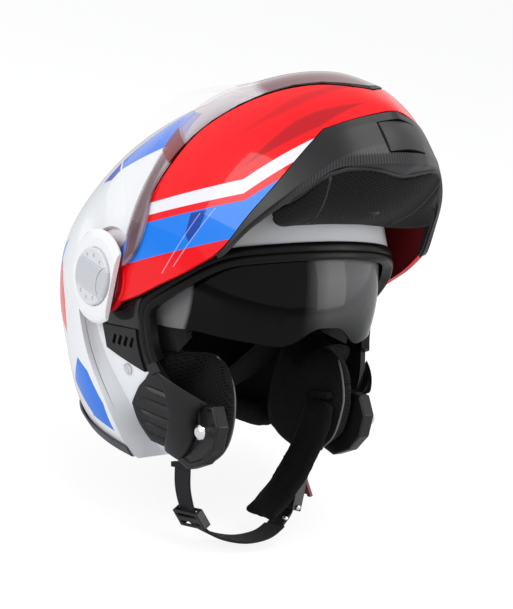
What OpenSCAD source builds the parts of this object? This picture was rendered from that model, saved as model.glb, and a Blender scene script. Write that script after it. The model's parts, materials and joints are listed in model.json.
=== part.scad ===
// Modular motorcycle helmet, shown with its chin bar raised and its sun visor down.
// The X axis is the hinge line of the chin bar, +X is the wearer's left, -Y is the front.

/* [Shell] */
// Half width of the shell beside the wearer's ears
shell_half_w = 125; // [118:0.5:132]
// Half width of the shell above the hinge, where the raised visor passes
temple_half_w = 115.5; // [113.5:0.5:117]
// Height of the crown above the hinge line
crown_r = 142.5; // [140:0.5:143]
// Distance from the hinge line to the slope behind the crown
slope_r = 128; // [126:0.5:131]
// Distance from the hinge line to the back of the shell
back_r = 139.5; // [136:0.5:144]
// Distance from the hinge line to the nape
nape_r = 148; // [144:0.5:152]
// Thickness of the shell
shell_wall = 4; // [3:0.1:5]
// Depth of the lower rim under the hinge line
rim_z = 128; // [124:0.5:131]
// Elevation of the brow edge seen from the hinge line, in degrees
brow_angle = 27.3; // [25:0.1:28.5]
// Height of the dark band along the rim
band_h = 10; // [8:0.5:14]

/* [Front recess] */
// Half width of the recessed front that the chin bar closes over
recess_half_w = 109.8; // [108:0.1:110.2]
// Depth of the recessed forehead under the crown's surface
forehead_step = 5.5; // [4:0.25:7]
// Distance from the hinge line to the forehead at the brow
forehead_r = 128; // [126:0.5:130]
// Distance of the crown's step behind the hinge line at the middle
step_back = 22; // [16:0.5:26]
// Radius of the round seat for the pivot cover
seat_r = 34.4; // [33:0.1:37]

/* [Pivot] */
// Radius of the hinge shaft in the chin bar's plate
shaft_r = 10; // [8:0.1:12]
// Radius of the hinge shaft in the visor's plate
visor_shaft_r = 9; // [7:0.1:9.5]
// Radial running clearance of both plates on the shaft
run_fit = 0.05; // [0.02:0.01:0.1]
// Side clearance between stacked plates
side_fit = 0.5; // [0.3:0.05:0.6]
// Radius of the round pivot disc
disc_r = 21; // [19:0.25:22]
// Thickness of the round pivot disc
disc_t = 5.4; // [4.5:0.1:6]
// Thickness of the white pivot cover
cover_t = 4; // [3:0.1:4.5]

/* [Chin bar] */
// Half width of the chin bar at its plates
chin_half_w = 117.3; // [116.5:0.1:118]
// Distance from the hinge line to the chin
chin_r = 216; // [212:0.5:218]
// Thickness of the painted chin bar shell
chin_wall = 4; // [3:0.1:4.2]
// Opening angle of the chin bar from closed to raised
chin_open = 87; // [80:0.5:88]
// Height of the black lip under the painted shell at the middle
lip_h = 42; // [36:0.5:46]
// Depth of the black rim at the middle
rim_depth = 50; // [44:0.5:52]

/* [Visor] */
// Thickness of the clear visor
visor_t = 2.5; // [2:0.1:2.6]
// Distance from the hinge line to the visor's upper edge
visor_top_r = 144.8; // [144.5:0.1:147]
// Gap between the visor and the chin bar along the seam, in degrees
seam_gap = 0.9; // [0.5:0.1:1.6]

/* [Sun visor] */
// Half width of the sun visor
sun_half_w = 100; // [98:0.25:101]
// Radius of the sun visor about the hinge line
sun_r = 121; // [120:0.1:121.2]
// Thickness of the sun visor
sun_t = 2; // [1.6:0.1:2.4]
// Height of the nose cut-out above the sun visor's lower edge, in degrees
nose_cut = 8; // [4:0.5:12]

/* [Lining] */
// Half width of the foam liner
foam_half_w = 96.4; // [94:0.1:96.8]
// Radius of the foam liner behind the sun visor
foam_r = 118.4; // [116:0.1:118.6]
// Thickness of the foam liner
foam_t = 16; // [12:0.5:18]
// Thickness of the comfort liner
comfort_t = 6; // [4:0.25:8]
// Inner half width between the cheek pads
cheek_gap = 50; // [46:0.5:54]
// Radius of the neck roll's section
roll_r = 8.5; // [6:0.25:9.5]

/* [Latch] */
// Distance of the latch pins behind the hinge line's front plane
pin_y = 102; // [98:0.5:105]
// Depth of the latch pins under the hinge line
pin_z = 80; // [76:0.5:83]
// Radius of the latch pin's neck
pin_r = 3.5; // [2.5:0.1:4]
// Radius of the latch pin's head
pin_head_r = 5.8; // [5:0.1:6.5]
// Length of the latch pin outside its plate
pin_l = 7.8; // [7.4:0.1:8]
// Outer face of the latch plates from the middle
latch_x = 75; // [74:0.25:75.25]

/* [Release button] */
// Width of the release button
button_w = 31; // [24:0.5:34]
// Height of the release button
button_h = 23; // [18:0.5:26]
// Travel of the release button
button_travel = 4; // [2:0.25:5]

/* [Chin strap] */
// Width of the webbing
web_w = 22; // [18:0.5:25]
// Thickness of the webbing
web_t = 2; // [1.5:0.1:2.5]
// Width of the padded sleeve
sleeve_w = 36; // [28:0.5:40]
// Thickness of the padded sleeve
sleeve_t = 7; // [5:0.25:9]
// Length of the buckle
buckle_l = 40; // [34:0.5:46]
// Width of the buckle
buckle_w = 24; // [23:0.5:28]

/* [Hidden] */
$fn = 48;
fit = 0.3;

// Outline of the shell about the hinge line: a value every 30 degrees from the front, upwards.
shell_radii = [149, 147, 145.5, crown_r, slope_r, slope_r + 0.5, back_r, nape_r, nape_r + 4, 150, 150, 150];
shell_widths = [
  shell_half_w, shell_half_w, temple_half_w, temple_half_w, temple_half_w + 1, temple_half_w + 1,
  shell_half_w - 1.6, shell_half_w - 4, shell_half_w - 3, shell_half_w - 4, shell_half_w - 3, shell_half_w
];
shell_squareness = [2.3, 2.3, 2.1, 2, 1.95, 2, 2.05, 2.2, 2.3, 3.3, 3.3, 2.5];
recess_radii = [
  forehead_r + 6, forehead_r, forehead_r + 5, crown_r - forehead_step, crown_r - forehead_step - 3,
  slope_r, back_r, nape_r, nape_r, 148, 148, 146
];
recess_squareness = [2.2, 2.2, 2.2, 2.2, 2.1, 2.1, 2.1, 2.2, 2.4, 2.5, 2.5, 2.4];
foam_gap = shell_wall + 1.2;
foam_front = min(foam_r, forehead_r - foam_gap - 0.8);
foam_radii = [
  foam_front, foam_front, foam_front, foam_front, slope_r - foam_gap, slope_r + 0.5 - foam_gap, back_r - foam_gap,
  nape_r - 8, nape_r - 18, 118, 114, foam_r
];
foam_squareness = [2.12, 2.12, 2.12, 2.1, 1.88, 1.92, 1.98, 2.1, 2.12, 2.12, 2.12, 2.12];
foam_spread = [0, 0, 0, 0, 14, 15, 18, 18, 10, 0, 0, 0];
// Outline of the closed chin bar and visor: a value every 15 degrees from -75 degrees.
chin_radii = [
  chin_r + 6, chin_r + 3, chin_r, chin_r - 8, chin_r - 29, visor_top_r + 11.5, visor_top_r + 0.7,
  visor_top_r, visor_top_r, visor_top_r
];
function chin_squareness(a) = 1.9 + 0.12 * ease((a + 24) / 30);

// Smooth value between evenly spaced keys, run through each key.
function blend(p, f) =
  0.5 * (2 * p[1] + (p[2] - p[0]) * f + (2 * p[0] - 5 * p[1] + 4 * p[2] - p[3]) * f * f
    + (3 * p[1] - p[0] - 3 * p[2] + p[3]) * f * f * f);
function around(keys, a) =
  let (t = ((a % 360) + 360) % 360 / 30, i = floor(t))
  blend([for (k = [-1:2]) keys[(i + k + 12) % 12]], t - i);
function along(keys, t) =
  let (n = len(keys) - 1, s = min(max(t, 0), n), i = min(floor(s), n - 1))
  blend([for (k = [-1:2]) keys[min(max(i + k, 0), n)]], s - i);
function ease(t) = let (s = min(max(t, 0), 1)) s * s * (3 - 2 * s);
function arch(q, n) = pow(max(0, 1 - pow(q, n)), 1 / n);
function at_angle(side, x, m, a) = [side * x, -m * cos(a), m * sin(a)];
function unit(v) = v / max(norm(v), 1e-9);

// Surface of the shell: raised is 1 behind the steps and 0 in the recess.
function surface_r(a, raised) = around(raised == 1 ? shell_radii : recess_radii, a);
function surface_w(a, raised) = raised == 1 ? around(shell_widths, a) : recess_half_w;
function surface_n(a, raised) = around(raised == 1 ? shell_squareness : recess_squareness, a);
function shell_point(side, a, q, raised, off) =
  at_angle(side, (surface_w(a, raised) + off) * arch(q, surface_n(a, raised)),
    (surface_r(a, raised) + off) * q, a);
function shell_normal(p, raised) =
  let (a = atan2(p[2], -p[1]), m = norm([p[1], p[2]]), n = surface_n(a, raised), r = surface_r(a, raised),
    w = surface_w(a, raised), c = pow(m / r, n - 1) / r / m)
  unit([sign(p[0]) * pow(abs(p[0]) / w, n - 1) / w, p[1] * c, p[2] * c]);
// Half width of the recessed front at a place given by y and z.
function recess_x(y, z, off) =
  let (a = atan2(z, -y), q = norm([y, z]) / (surface_r(a, 0) + off))
  (recess_half_w + off) * arch(min(q, 1), surface_n(a, 0));
// Point of the outer shell at a bearing and a height, found by closing in on it.
function shell_reach(p) =
  let (a = atan2(p[2], -p[1]), n = surface_n(a, 1))
  pow(pow(abs(p[0]) / surface_w(a, 1), n) + pow(norm([p[1], p[2]]) / surface_r(a, 1), n), -1 / n);
function level_h(bearing, z, h, turns) =
  turns == 0 ? h
  : level_h(bearing, z, h * shell_reach([h * sin(bearing), -h * cos(bearing), z]), turns - 1);
function level_point(bearing, z, inset) =
  let (h = level_h(bearing, z, 105, 12) - inset)
  [h * sin(bearing), -h * cos(bearing), z];

// Front edge of the shell up to the brow: distance from the hinge line at each elevation.
port_edge = [
  [-66, 134], [-58, 131], [-50, 124], [-45, 118.5], [-40.5, 111], [-38, 102], [-36.3, 80], [-33, 67],
  [-28, 59.5], [-23, 54.5], [-16, 48], [-9, 46], [-4, 47], [2.7, 52], [12, 62], [21.5, 80],
  [25, forehead_r - 37], [26.7, forehead_r - 29], [26.85, forehead_r - 16.7], [27, forehead_r - 7.3],
  [27.15, forehead_r - 2.1]
];
port_top = 27.3;
function front_share(a, r) = a >= brow_angle ? 1 : lookup(a - brow_angle + port_top, port_edge) / r;
function rim_share(a, depth, r) = sin(a) >= -0.02 ? 1 : min(1, depth / (-sin(a) * r));
function edge_share(a, raised) =
  let (r = surface_r(a, raised))
  a < 90 ? min(front_share(a, r), rim_share(a, rim_z, r)) : rim_share(a, rim_z, r);

// Lines of the rear edge of the closed chin bar's seat and of the crown's step, by share of the radius.
seat_line = [
  [0.2, -135], [0.24, -125], [0.3, -106], [0.4, -86], [0.5, -76], [0.6, -70], [0.72, -67.5], [0.86, -70]
];
step_end = asin(step_back / crown_r);
step_line = [
  [0.24, -18], [0.3, -14], [0.54, -3.5], [0.74, 0.25 * step_end], [0.89, 0.9 * step_end], [1, step_end]
];
function crown_shift(q) = lookup(q, step_line);
function seat_shift(q) = lookup(q, seat_line) + 90;
function warp(a, q) =
  a >= brow_angle && a <= 90 ? a + crown_shift(q) * (a - brow_angle) / (90 - brow_angle)
  : a > 90 && a < 150 ? a + crown_shift(q) * (150 - a) / 60
  : a < -30 ? a + seat_shift(q) * (-30 - a) / 60
  : a > 205 ? a + seat_shift(q) * (a - 205) / 65
  : a;

front_rows = [
  -90, -82, -74, -66, -59, -53, -48, -44, -40.5, -38, -36.3, -33, -28, -23, -16, -9, -3, 3, 8, 13, 18, 21.5,
  brow_angle - 2.3, brow_angle - 0.6, brow_angle - 0.45, brow_angle - 0.3, brow_angle - 0.15, brow_angle,
  35, 45, 56, 68, 80, 90
];
rear_rows = [
  90.8, 99, 109, 120, 131, 143, 155, 167, 180, 192, 204, 214, 222, 227.5, 230.5, 235, 243, 252, 261, 269.2
];
shell_rows = concat([for (a = front_rows) [a, 0]], [for (a = rear_rows) [a, 1]]);
// Share of the radius at which a row of the shell ends, and shares spread evenly along the curve.
function far_share(nominal, raised) =
  let (s = edge_share(warp(nominal, 0.8), raised), s2 = edge_share(warp(nominal, s), raised))
  edge_share(warp(nominal, s2), raised);
function curve_share(near, far, t) =
  let (s = asin(pow(near, 1.1)), e = asin(pow(far, 1.1))) pow(sin(s + (e - s) * t), 1 / 1.1);
hub_levels = [0.6, 1];
shell_levels = 8;

// One quadrangle as two triangles, turned round where flip is true.
function quad(a, b, c, d, flip) = flip ? [[a, c, b], [a, d, c]] : [[a, b, c], [a, c, d]];

// Closed dome from both hinge points over the crown. rim(i) is the outermost share in row i,
// place(side, i, t, layer) a point at share t of it, and joined(i) tells if both halves meet there.
module dome(rows, levels, place, joined) {
  n = rows;
  m = levels;
  half = 1 + n * m;
  function id(layer, side, i, j) =
    let (k = i % n, s = (j == m && joined(k)) ? 0 : side)
    layer * 2 * half + s * half + (j == 0 ? 0 : 1 + k * m + j - 1);
  points = [
    for (layer = [0, 1], side = [0, 1]) each concat(
      [place(side == 0 ? -1 : 1, 0, 0, layer)],
      [for (i = [0:n - 1], j = [1:m]) place(side == 0 ? -1 : 1, i, j, layer)]
    )
  ];
  faces = [
    for (layer = [0, 1], side = [0, 1], i = [0:n - 1])
      let (flip = (layer + side) % 2 == 1)
      each concat(
        [flip ? [id(layer, side, i, 0), id(layer, side, i, 1), id(layer, side, i + 1, 1)]
              : [id(layer, side, i, 0), id(layer, side, i + 1, 1), id(layer, side, i, 1)]],
        [for (j = [1:m - 1]) each quad(id(layer, side, i, j), id(layer, side, i + 1, j),
          id(layer, side, i + 1, j + 1), id(layer, side, i, j + 1), flip)]
      ),
    for (side = [0, 1], i = [0:n - 1])
      if (!(joined(i) && joined((i + 1) % n)))
        each quad(id(0, side, i, m), id(0, side, i + 1, m),
          id(1, side, i + 1, m), id(1, side, i, m), side == 1)
  ];
  polyhedron(points, faces, convexity = 8);
}

// Closed slab between two grids of points, outer[i][j] and inner[i][j].
module slab(outer, inner) {
  n = len(outer);
  m = len(outer[0]);
  function id(k, i, j) = (k * n + i) * m + j;
  points = concat([for (row = outer) each row], [for (row = inner) each row]);
  faces = [
    for (i = [0:n - 2], j = [0:m - 2]) each concat(
      quad(id(0, i, j), id(0, i + 1, j), id(0, i + 1, j + 1), id(0, i, j + 1), false),
      quad(id(1, i, j), id(1, i + 1, j), id(1, i + 1, j + 1), id(1, i, j + 1), true)
    ),
    for (i = [0:n - 2]) each concat(
      quad(id(0, i, 0), id(1, i, 0), id(1, i + 1, 0), id(0, i + 1, 0), false),
      quad(id(0, i, m - 1), id(1, i, m - 1), id(1, i + 1, m - 1), id(0, i + 1, m - 1), true)
    ),
    for (j = [0:m - 2]) each concat(
      quad(id(0, 0, j), id(1, 0, j), id(1, 0, j + 1), id(0, 0, j + 1), true),
      quad(id(0, n - 1, j), id(1, n - 1, j), id(1, n - 1, j + 1), id(0, n - 1, j + 1), false)
    )
  ];
  polyhedron(points, faces, convexity = 8);
}

// Solid through a row of rings with equal counts of points, capped by fans round their middles.
module loft(rings) {
  n = len(rings);
  m = len(rings[0]);
  function middle(ring) = [for (k = [0:2]) [for (p = ring) p[k]] * [for (p = ring) 1] / m];
  points = concat([for (ring = rings) each ring], [middle(rings[0]), middle(rings[n - 1])]);
  faces = [
    for (i = [0:n - 2], j = [0:m - 1])
      each quad(i * m + j, i * m + (j + 1) % m, (i + 1) * m + (j + 1) % m, (i + 1) * m + j, false),
    for (j = [0:m - 1]) each [
      [n * m, (j + 1) % m, j],
      [n * m + 1, (n - 1) * m + j, (n - 1) * m + (j + 1) % m]
    ]
  ];
  polyhedron(points, faces, convexity = 8);
}

// Shell, foam and comfort liner share the dome's form.
function shell_place(side, i, j, layer) =
  let (
    nominal = shell_rows[i][0],
    h = len(hub_levels),
    raised = (j > h && shell_rows[i][1] == 1) ? 1 : 0,
    r = surface_r(nominal, raised),
    far = far_share(nominal, shell_rows[i][1]),
    near = seat_r / r,
    q = j == 0 ? 0
      : j <= h ? near * hub_levels[j - 1]
      : curve_share(near + 0.008, far, (j - h - 1) / (shell_levels - 1))
  )
  shell_point(side, warp(nominal, q), q, raised, layer == 0 ? 0 : -shell_wall);

module outer_shell() {
  color("white")
    dome(len(shell_rows), len(hub_levels) + shell_levels,
      function (side, i, j, layer) shell_place(side, i, j, layer),
      function (i) far_share(shell_rows[i][0], shell_rows[i][1]) >= 1);
}

liner_rows = [
  -80, -68, -56, -44, -32, -20, -8, 4, 13, 19, 22.5, brow_angle - 2.3, brow_angle - 0.15, brow_angle,
  34, 48, 62, 76, 90, 104, 118, 132, 146, 160, 174, 188, 202, 214, 224, 231, 238, 248, 258, 269
];
liner_levels = 6;
// The foam ends at cheek height, and lower behind the head.
function liner_depth(a) = a < 90 ? 40 : 40 + 71 * ease((a - 190) / 30) - 71 * ease((a - 258) / 10);
function liner_share(a) =
  let (r = around(foam_radii, a), low = rim_share(a, liner_depth(a), r))
  a < 90 ? min(front_share(a, r) + (a < brow_angle ? 0.03 : 0), low, 1) : low;
function liner_point(side, i, j, off) =
  let (
    a = liner_rows[i],
    q = curve_share(0, liner_share(a), j / liner_levels),
    w = foam_half_w + around(foam_spread, a) * ease((q - 0.18) / 0.4)
  )
  at_angle(side, (w + off) * arch(q, around(foam_squareness, a)), (around(foam_radii, a) + off) * q, a);
module liner(outside, inside) {
  dome(len(liner_rows), liner_levels,
    function (side, i, j, layer) liner_point(side, i, j, layer == 0 ? outside : inside),
    function (i) liner_share(liner_rows[i]) >= 1);
}
module impact_liner() { color("dimgray") liner(0, -foam_t); }
module comfort_liner() { color("black") liner(-foam_t - fit, -foam_t - comfort_t); }

// Dark band clipped over the lower rim.
function band_ring(bearing) =
  let (low = -rim_z - 2, top = -rim_z + band_h)
  [
    level_point(bearing, top, -fit), level_point(bearing, top - 0.6, -2),
    level_point(bearing, -rim_z + 1, -2.3), level_point(bearing, low, -1),
    level_point(bearing, low, shell_wall + 4), level_point(bearing, -rim_z + 3, shell_wall + 4),
    level_point(bearing, -rim_z + 3, shell_wall + 2.6), level_point(bearing, -rim_z - fit, shell_wall + 2),
    level_point(bearing, -rim_z - fit, -fit)
  ];
module rim_band() {
  color([0.2, 0.2, 0.22]) loft([for (b = [294:-6:66]) band_ring(b)]);
}

module neck_roll() {
  first = 88;
  function ring(b) =
    let (
      c = level_point(b, -rim_z, shell_wall + roll_r + 7.2),
      e = ease((b - first) / 14) * ease((360 - first - b) / 14),
      r = roll_r * (0.5 + 0.5 * e)
    )
    [for (t = [0:30:330]) c + [sin(b) * r * cos(t), -cos(b) * r * cos(t), 1.25 * r * sin(t) - 1]];
  color("black") loft([for (b = [first:5.1111:360 - first]) ring(b)]);
}

// Rubber trim round the eye opening, swept along the shell's front edge.
trim_rows = [for (a = front_rows) if (a > -37 && a < brow_angle) a];
trim_section = [
  [-3.4, -6], [-4, 1], [-2.6, 2.3], [0.6, 2.6], [2.4, 1.6], [4.2, 2.3], [7.4, 2], [9, 0.6], [-0.5, 0.6],
  [-0.5, -shell_wall - 0.7], [2.6, -shell_wall - 0.7], [2.6, -6]
];
trim_half = [for (a = trim_rows) let (q = far_share(a, 0)) shell_point(-1, warp(a, q), q, 0, 0)];
trim_path = concat(
  trim_half,
  [at_angle(1, 0, surface_r(brow_angle, 0), brow_angle)],
  [for (i = [len(trim_half) - 1:-1:0]) [-trim_half[i][0], trim_half[i][1], trim_half[i][2]]]
);
module eyeport_trim() {
  n = len(trim_path);
  function ring(i) =
    let (
      p = trim_path[i],
      t = unit(trim_path[min(i + 1, n - 1)] - trim_path[max(i - 1, 0)]),
      out = shell_normal(p, 0),
      side = unit(cross(out, t)),
      up = unit(cross(t, side))
    )
    [for (s = trim_section) p + side * s[0] + up * s[1]];
  color("black") loft([for (i = [0:n - 1]) ring(i)]);
}

// Turned pieces on the hinge line, placed by their distance from the middle.
module on_axis(side, from) { translate([side * from, 0, 0]) rotate([0, side * 90, 0]) children(); }
floor_x = recess_half_w + 0.1;
plate_x = chin_half_w - chin_wall;
visor_x = chin_half_w + side_fit;
flange_x = visor_x + visor_t + side_fit;
cover_x = visor_x + visor_t + side_fit + 0.2;
disc_x = flange_x + 1.6 + 0.2;

module pivot_hub(side) {
  color("silver") {
    on_axis(side, floor_x) cylinder(r = shaft_r, h = visor_x - floor_x - 0.15);
    on_axis(side, visor_x - 0.15) cylinder(r = visor_shaft_r, h = flange_x - visor_x + 0.15);
    on_axis(side, flange_x) cylinder(r = visor_shaft_r + 5, h = 1.6);
  }
}
module pivot_hub_right() { pivot_hub(-1); }
module pivot_hub_left() { pivot_hub(1); }

// White cover over the chin bar's and visor's plates, cut straight in front.
module pivot_cover(side) {
  front = disc_r + 1.6;
  color("white") difference() {
    on_axis(side, cover_x) rotate_extrude($fn = 96)
      polygon([[disc_r + fit, 0], [seat_r - fit, 0], [seat_r - fit, 1.2], [seat_r - 2, cover_t - 1.2],
        [seat_r - 6, cover_t], [disc_r + fit, cover_t]]);
    translate([side * cover_x - 20, -front - 40, -50]) cube([40, 40, 100]);
  }
}
module pivot_cover_right() { pivot_cover(-1); }
module pivot_cover_left() { pivot_cover(1); }

// Round cap with two lines of three dimples, two straight grooves and a bowed one.
module pivot_disc(side) {
  groove = 0.7;
  band = disc_r * 0.5;
  color("gainsboro") difference() {
    on_axis(side, disc_x) rotate_extrude($fn = 96)
      polygon([[0, 0], [disc_r, 0], [disc_r, disc_t - 1], [disc_r - 1, disc_t], [0, disc_t]]);
    for (up = [-1, 1]) {
      translate([side * (disc_x + disc_t), 0, up * band])
        cube([2 * groove, 4 * disc_r, groove], center = true);
      for (k = [-1:1])
        rotate([90 * up + k * 32, 0, 0]) translate([0, -disc_r * 0.76, 0])
          on_axis(side, disc_x + disc_t - groove) cylinder(r = 1.5, h = 2, $fn = 24);
    }
    translate([0, -disc_r * 1.05, 0]) on_axis(side, disc_x + disc_t - groove) difference() {
      cylinder(r = disc_r * 0.66, h = 2);
      cylinder(r = disc_r * 0.66 - groove, h = 2);
    }
  }
}
module pivot_disc_right() { pivot_disc(-1); }
module pivot_disc_left() { pivot_disc(1); }

// Plate on the recessed side of the shell between a rear and a front outline, both given by y and z.
function between(keys, t) = let (n = len(keys) - 1, i = min(floor(t * n), n - 1), f = t * n - i)
  keys[i] * (1 - f) + keys[i + 1] * f;
module recess_plate(rear, front, down, across, low, high) {
  function row(v, top) = [
    for (u = [0:across])
      let (p = rear(v) * (1 - u / across) + front(v) * u / across)
      [recess_x(p[0], p[1], top ? high(u / across, v) : low), p[0], p[1]]
  ];
  slab([for (k = [0:down]) row(k / down, true)], [for (k = [0:down]) row(k / down, false)]);
}

plate_t = 1.3;
module side_plate_left() {
  rear = [[-1, -36.5], [-4, -42], [-7, -47], [-9, -52]];
  front = [[-40, -26], [-42.2, -32.5], [-46, -41.5], [-53, -53.5]];
  color("dimgray") difference() {
    recess_plate(function (v) between(rear, v), function (v) between(front, v), 5, 8, fit,
      function (u, v) fit + plate_t);
    for (k = [0:3])
      translate([recess_half_w - 12, -19 - 6.6 * k, -46 + 1.6 * k]) rotate([12, 0, 0]) cube([30, 3.4, 8]);
  }
}
module side_plate_right() { mirror([1, 0, 0]) side_plate_left(); }

// Ribbed cover over the lower front of the shell.
rib_count = 6;
module cheek_cover_left() {
  rear = [[-58, -54.5], [-49, -66], [-39.5, -84], [-42, -98], [-47, -112.5]];
  front = [[-66.5, -49.5], [-84, -65], [-85, -82], [-79, -98], [-67, -112.5]];
  steps = rib_count * 4;
  function in_groove(u, v) = u > 0.2 && u < 0.85 && v > 0.16 && v < 0.9 && floor(v * steps) % 4 == 1;
  function height(u, v) = fit + plate_t + (in_groove(u, v) ? -0.5 : 1.1);
  color("dimgray") recess_plate(function (v) between(rear, v), function (v) between(front, v),
    steps, 8, fit, function (u, v) height(u, v));
}
module cheek_cover_right() { mirror([1, 0, 0]) cheek_cover_left(); }

// Smooth closed loop through a list of points, with k steps between neighbours.
function loop(keys, k) = let (n = len(keys))
  [for (i = [0:n - 1], s = [0:k - 1]) blend([for (d = [-1:2]) keys[(i + d + n) % n]], s / k)];

latch_outline = [
  [-84.5, -63.5], [-103, -60], [-113, -72], [-pin_y - 11.5, -pin_z - 10], [-105, -105], [-90, -116],
  [-76, -115.5], [-88, -103], [-93, -87]
];
latch_in_x = latch_x - 11;
module latch_plate_left() {
  middle = [-pin_y + 2, -pin_z - 2];
  function ring(share, x) = [
    for (p = latch_outline) let (q = middle + (p - middle) * share) [x, q[0], q[1]]
  ];
  color("dimgray") loft([
    ring(0.8, latch_x - 1.2), ring(0.84, latch_x), ring(0.93, latch_x), ring(1, latch_x - 1.2),
    ring(1, latch_in_x + 1), ring(0.93, latch_in_x)
  ]);
}
module latch_plate_right() { mirror([1, 0, 0]) latch_plate_left(); }

module latch_pin(side) {
  foot = latch_x - 1.1;
  head_t = 3.4;
  neck = latch_x + pin_l - head_t - foot;
  color("silver") translate([0, -pin_y, -pin_z]) {
    on_axis(side, foot) cylinder(r = pin_r, h = neck);
    on_axis(side, foot + neck) rotate_extrude()
      polygon([[0, 0], [pin_head_r - 0.8, 0], [pin_head_r, 0.9], [pin_head_r - 0.4, 2.2],
        [pin_head_r - 2.4, head_t], [0, head_t]]);
  }
}
module latch_pin_right() { latch_pin(-1); }
module latch_pin_left() { latch_pin(1); }

module recess_rivet(side) {
  y = -34;
  z = -59;
  p = [side * recess_x(y, z, 0), y, z];
  out = shell_normal(p, 0);
  color("silver") translate(p + out * 0.35) rotate([0, acos(out[2]), atan2(out[1], out[0])]) rotate_extrude()
    polygon([[0, 0], [4.2, 0], [4.2, 0.7], [3.2, 1.2], [1.6, 0.8], [0, 0.8]]);
}
module recess_rivet_right() { recess_rivet(-1); }
module recess_rivet_left() { recess_rivet(1); }

// Cheek pad with a crowned inner face and an outer face that follows the shell.
cheek_outline = [
  [-62, -35], [-84, -37], [-98, -52], [-104, -74], [-101, -98], [-87, -116], [-62, -125], [-38, -124],
  [-18, -115], [-11, -92], [-12, -60], [-18, -46], [-42, -45]
];
module cheek_pad_left() {
  keys = loop(cheek_outline, 3);
  middle = [-60, -82];
  function outer_x(y, z) =
    let (
      side = min(recess_x(y, z, -shell_wall - 5.6), 92),
      front = latch_in_x - 2.4 - 5 * ease((-z - 92) / 12),
      f = ease((-y - 56) / 12),
      low = 83 + 12 * ease((z + rim_z - 4) / 8)
    )
    min(side * (1 - f) + front * f, low);
  function ring(share, deep, inward) = [
    for (p = keys)
      let (q = middle + (p - middle) * share, x = max(outer_x(q[0], q[1]), cheek_gap + 6))
      [cheek_gap - inward + (x - cheek_gap) * deep, q[0], q[1]]
  ];
  color([0.1, 0.1, 0.1]) loft([
    ring(0.84, 1, 0), ring(0.97, 0.9, 0), ring(1, 0.6, 0), ring(0.985, 0.36, 0), ring(1, 0.22, 0),
    ring(0.93, 0.06, 0), ring(0.78, 0, 1), ring(0.5, 0, 2.4), ring(0.2, 0, 3)
  ]);
}
module cheek_pad_right() { mirror([1, 0, 0]) cheek_pad_left(); }

// Chin bar and visor: a station is 0 at the hinge and 90 at the middle of the front.
chin_top = [
  [6, -22], [17, -22], [22, -18], [28, -14.6], [36.7, -12.7], [44.3, -12.2], [51, -14.5], [58, -16.7],
  [64, -19], [70, -21.2], [76, -23.9], [82, -26.8], [90, -28.4]
];
chin_low = [
  [6, -118], [8.1, -112.5], [11.1, -88.5], [14.9, -76.5], [18.8, -69.7], [26.6, -62.3], [33.8, -57.6],
  [38.4, -51.5], [41.9, -48.4], [45.7, -45.8], [53.6, -40.9], [59.1, -38], [65, -35.4], [90, -35]
];
function chin_r_at(a) = along(chin_radii, (a + 75) / 15);
function front_point(turn, a, w, off) =
  let (st = 90 - abs(turn), e = 2 / chin_squareness(a))
  at_angle(turn < 0 ? -1 : 1, (w + off) * pow(cos(st), e), (chin_r_at(a) + off) * pow(sin(st), e), a);
// Point of the same surface at a given distance from the hinge line.
function plate_point(turn, a, w, off, m) =
  at_angle(turn < 0 ? -1 : 1, (w + off) * arch(m / (chin_r_at(a) + off), chin_squareness(a)), m, a);
function station(turn) = 90 - abs(turn);
module raise() { rotate([-chin_open, 0, 0]) children(); }

arm_turn = 81.6;
hub_r = 26.5;
chin_turns = [
  -arm_turn, -78.5, -75.1, -71.2, -67, -63.4, -60, -56.2, -51.6, -48.1, -44.3, -40, -36.4, -30.9, -25,
  -18, -12, -8, -4, 0, 4, 8, 12, 18,
  25, 30.9, 36.4, 40, 44.3, 48.1, 51.6, 56.2, 60, 63.4, 67, 71.2, 75.1, 78.5, arm_turn
];
function nose(turn, share) = 3 * ease(1 - abs(turn) / 12) * ease(share);
module chin_bar_shell() {
  steps = 6;
  function row(turn, off) = [
    for (k = [0:steps])
      let (
        st = station(turn),
        a = lookup(st, chin_top) + (lookup(st, chin_low) - lookup(st, chin_top)) * k / steps
      )
      abs(turn) == arm_turn ? plate_point(turn, a, chin_half_w, off, hub_r + fit)
        : front_point(turn, a, chin_half_w, off + nose(turn, k / steps))
  ];
  color("red") raise() slab([for (t = chin_turns) row(t, 0)], [for (t = chin_turns) row(t, -chin_wall)]);
}

// Lip and floor of the chin bar, deep at the middle and thin beside the cheeks.
lip_share = [[32, 0.03], [40, 0.15], [48, 0.31], [58, 0.57], [69, 0.79], [80, 0.93], [90, 1]];
depth_share = [[32, 0.1], [42, 0.1], [50, 0.12], [55, 0.26], [61, 0.62], [70, 0.9], [90, 1]];
pocket_half = button_w / 2 + 0.5;
button_t = 2.6;
pocket_t = button_t + button_travel + 0.9;
function turn_at(x) = asin(pow(x / chin_half_w, chin_squareness(-90) / 2));
rim_half = [
  58, 56.2, 51.6, 48.1, 44.3, 40, 36.4, 30.9, 25, 21, 18, 14, 10.5,
  turn_at(pocket_half + 0.6), turn_at(pocket_half), 3
];
rim_turns = concat([for (t = rim_half) -t], [0], [for (k = [len(rim_half) - 1:-1:0]) rim_half[k]]);
function down_from(turn, t, off) =
  let (
    a = lookup(station(turn), chin_low),
    m = chin_r_at(a) * pow(sin(station(turn)), 2 / chin_squareness(a))
  )
  front_point(turn, a - t / m * 180 / PI, chin_half_w, off);
pocket_from = 7;
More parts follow.
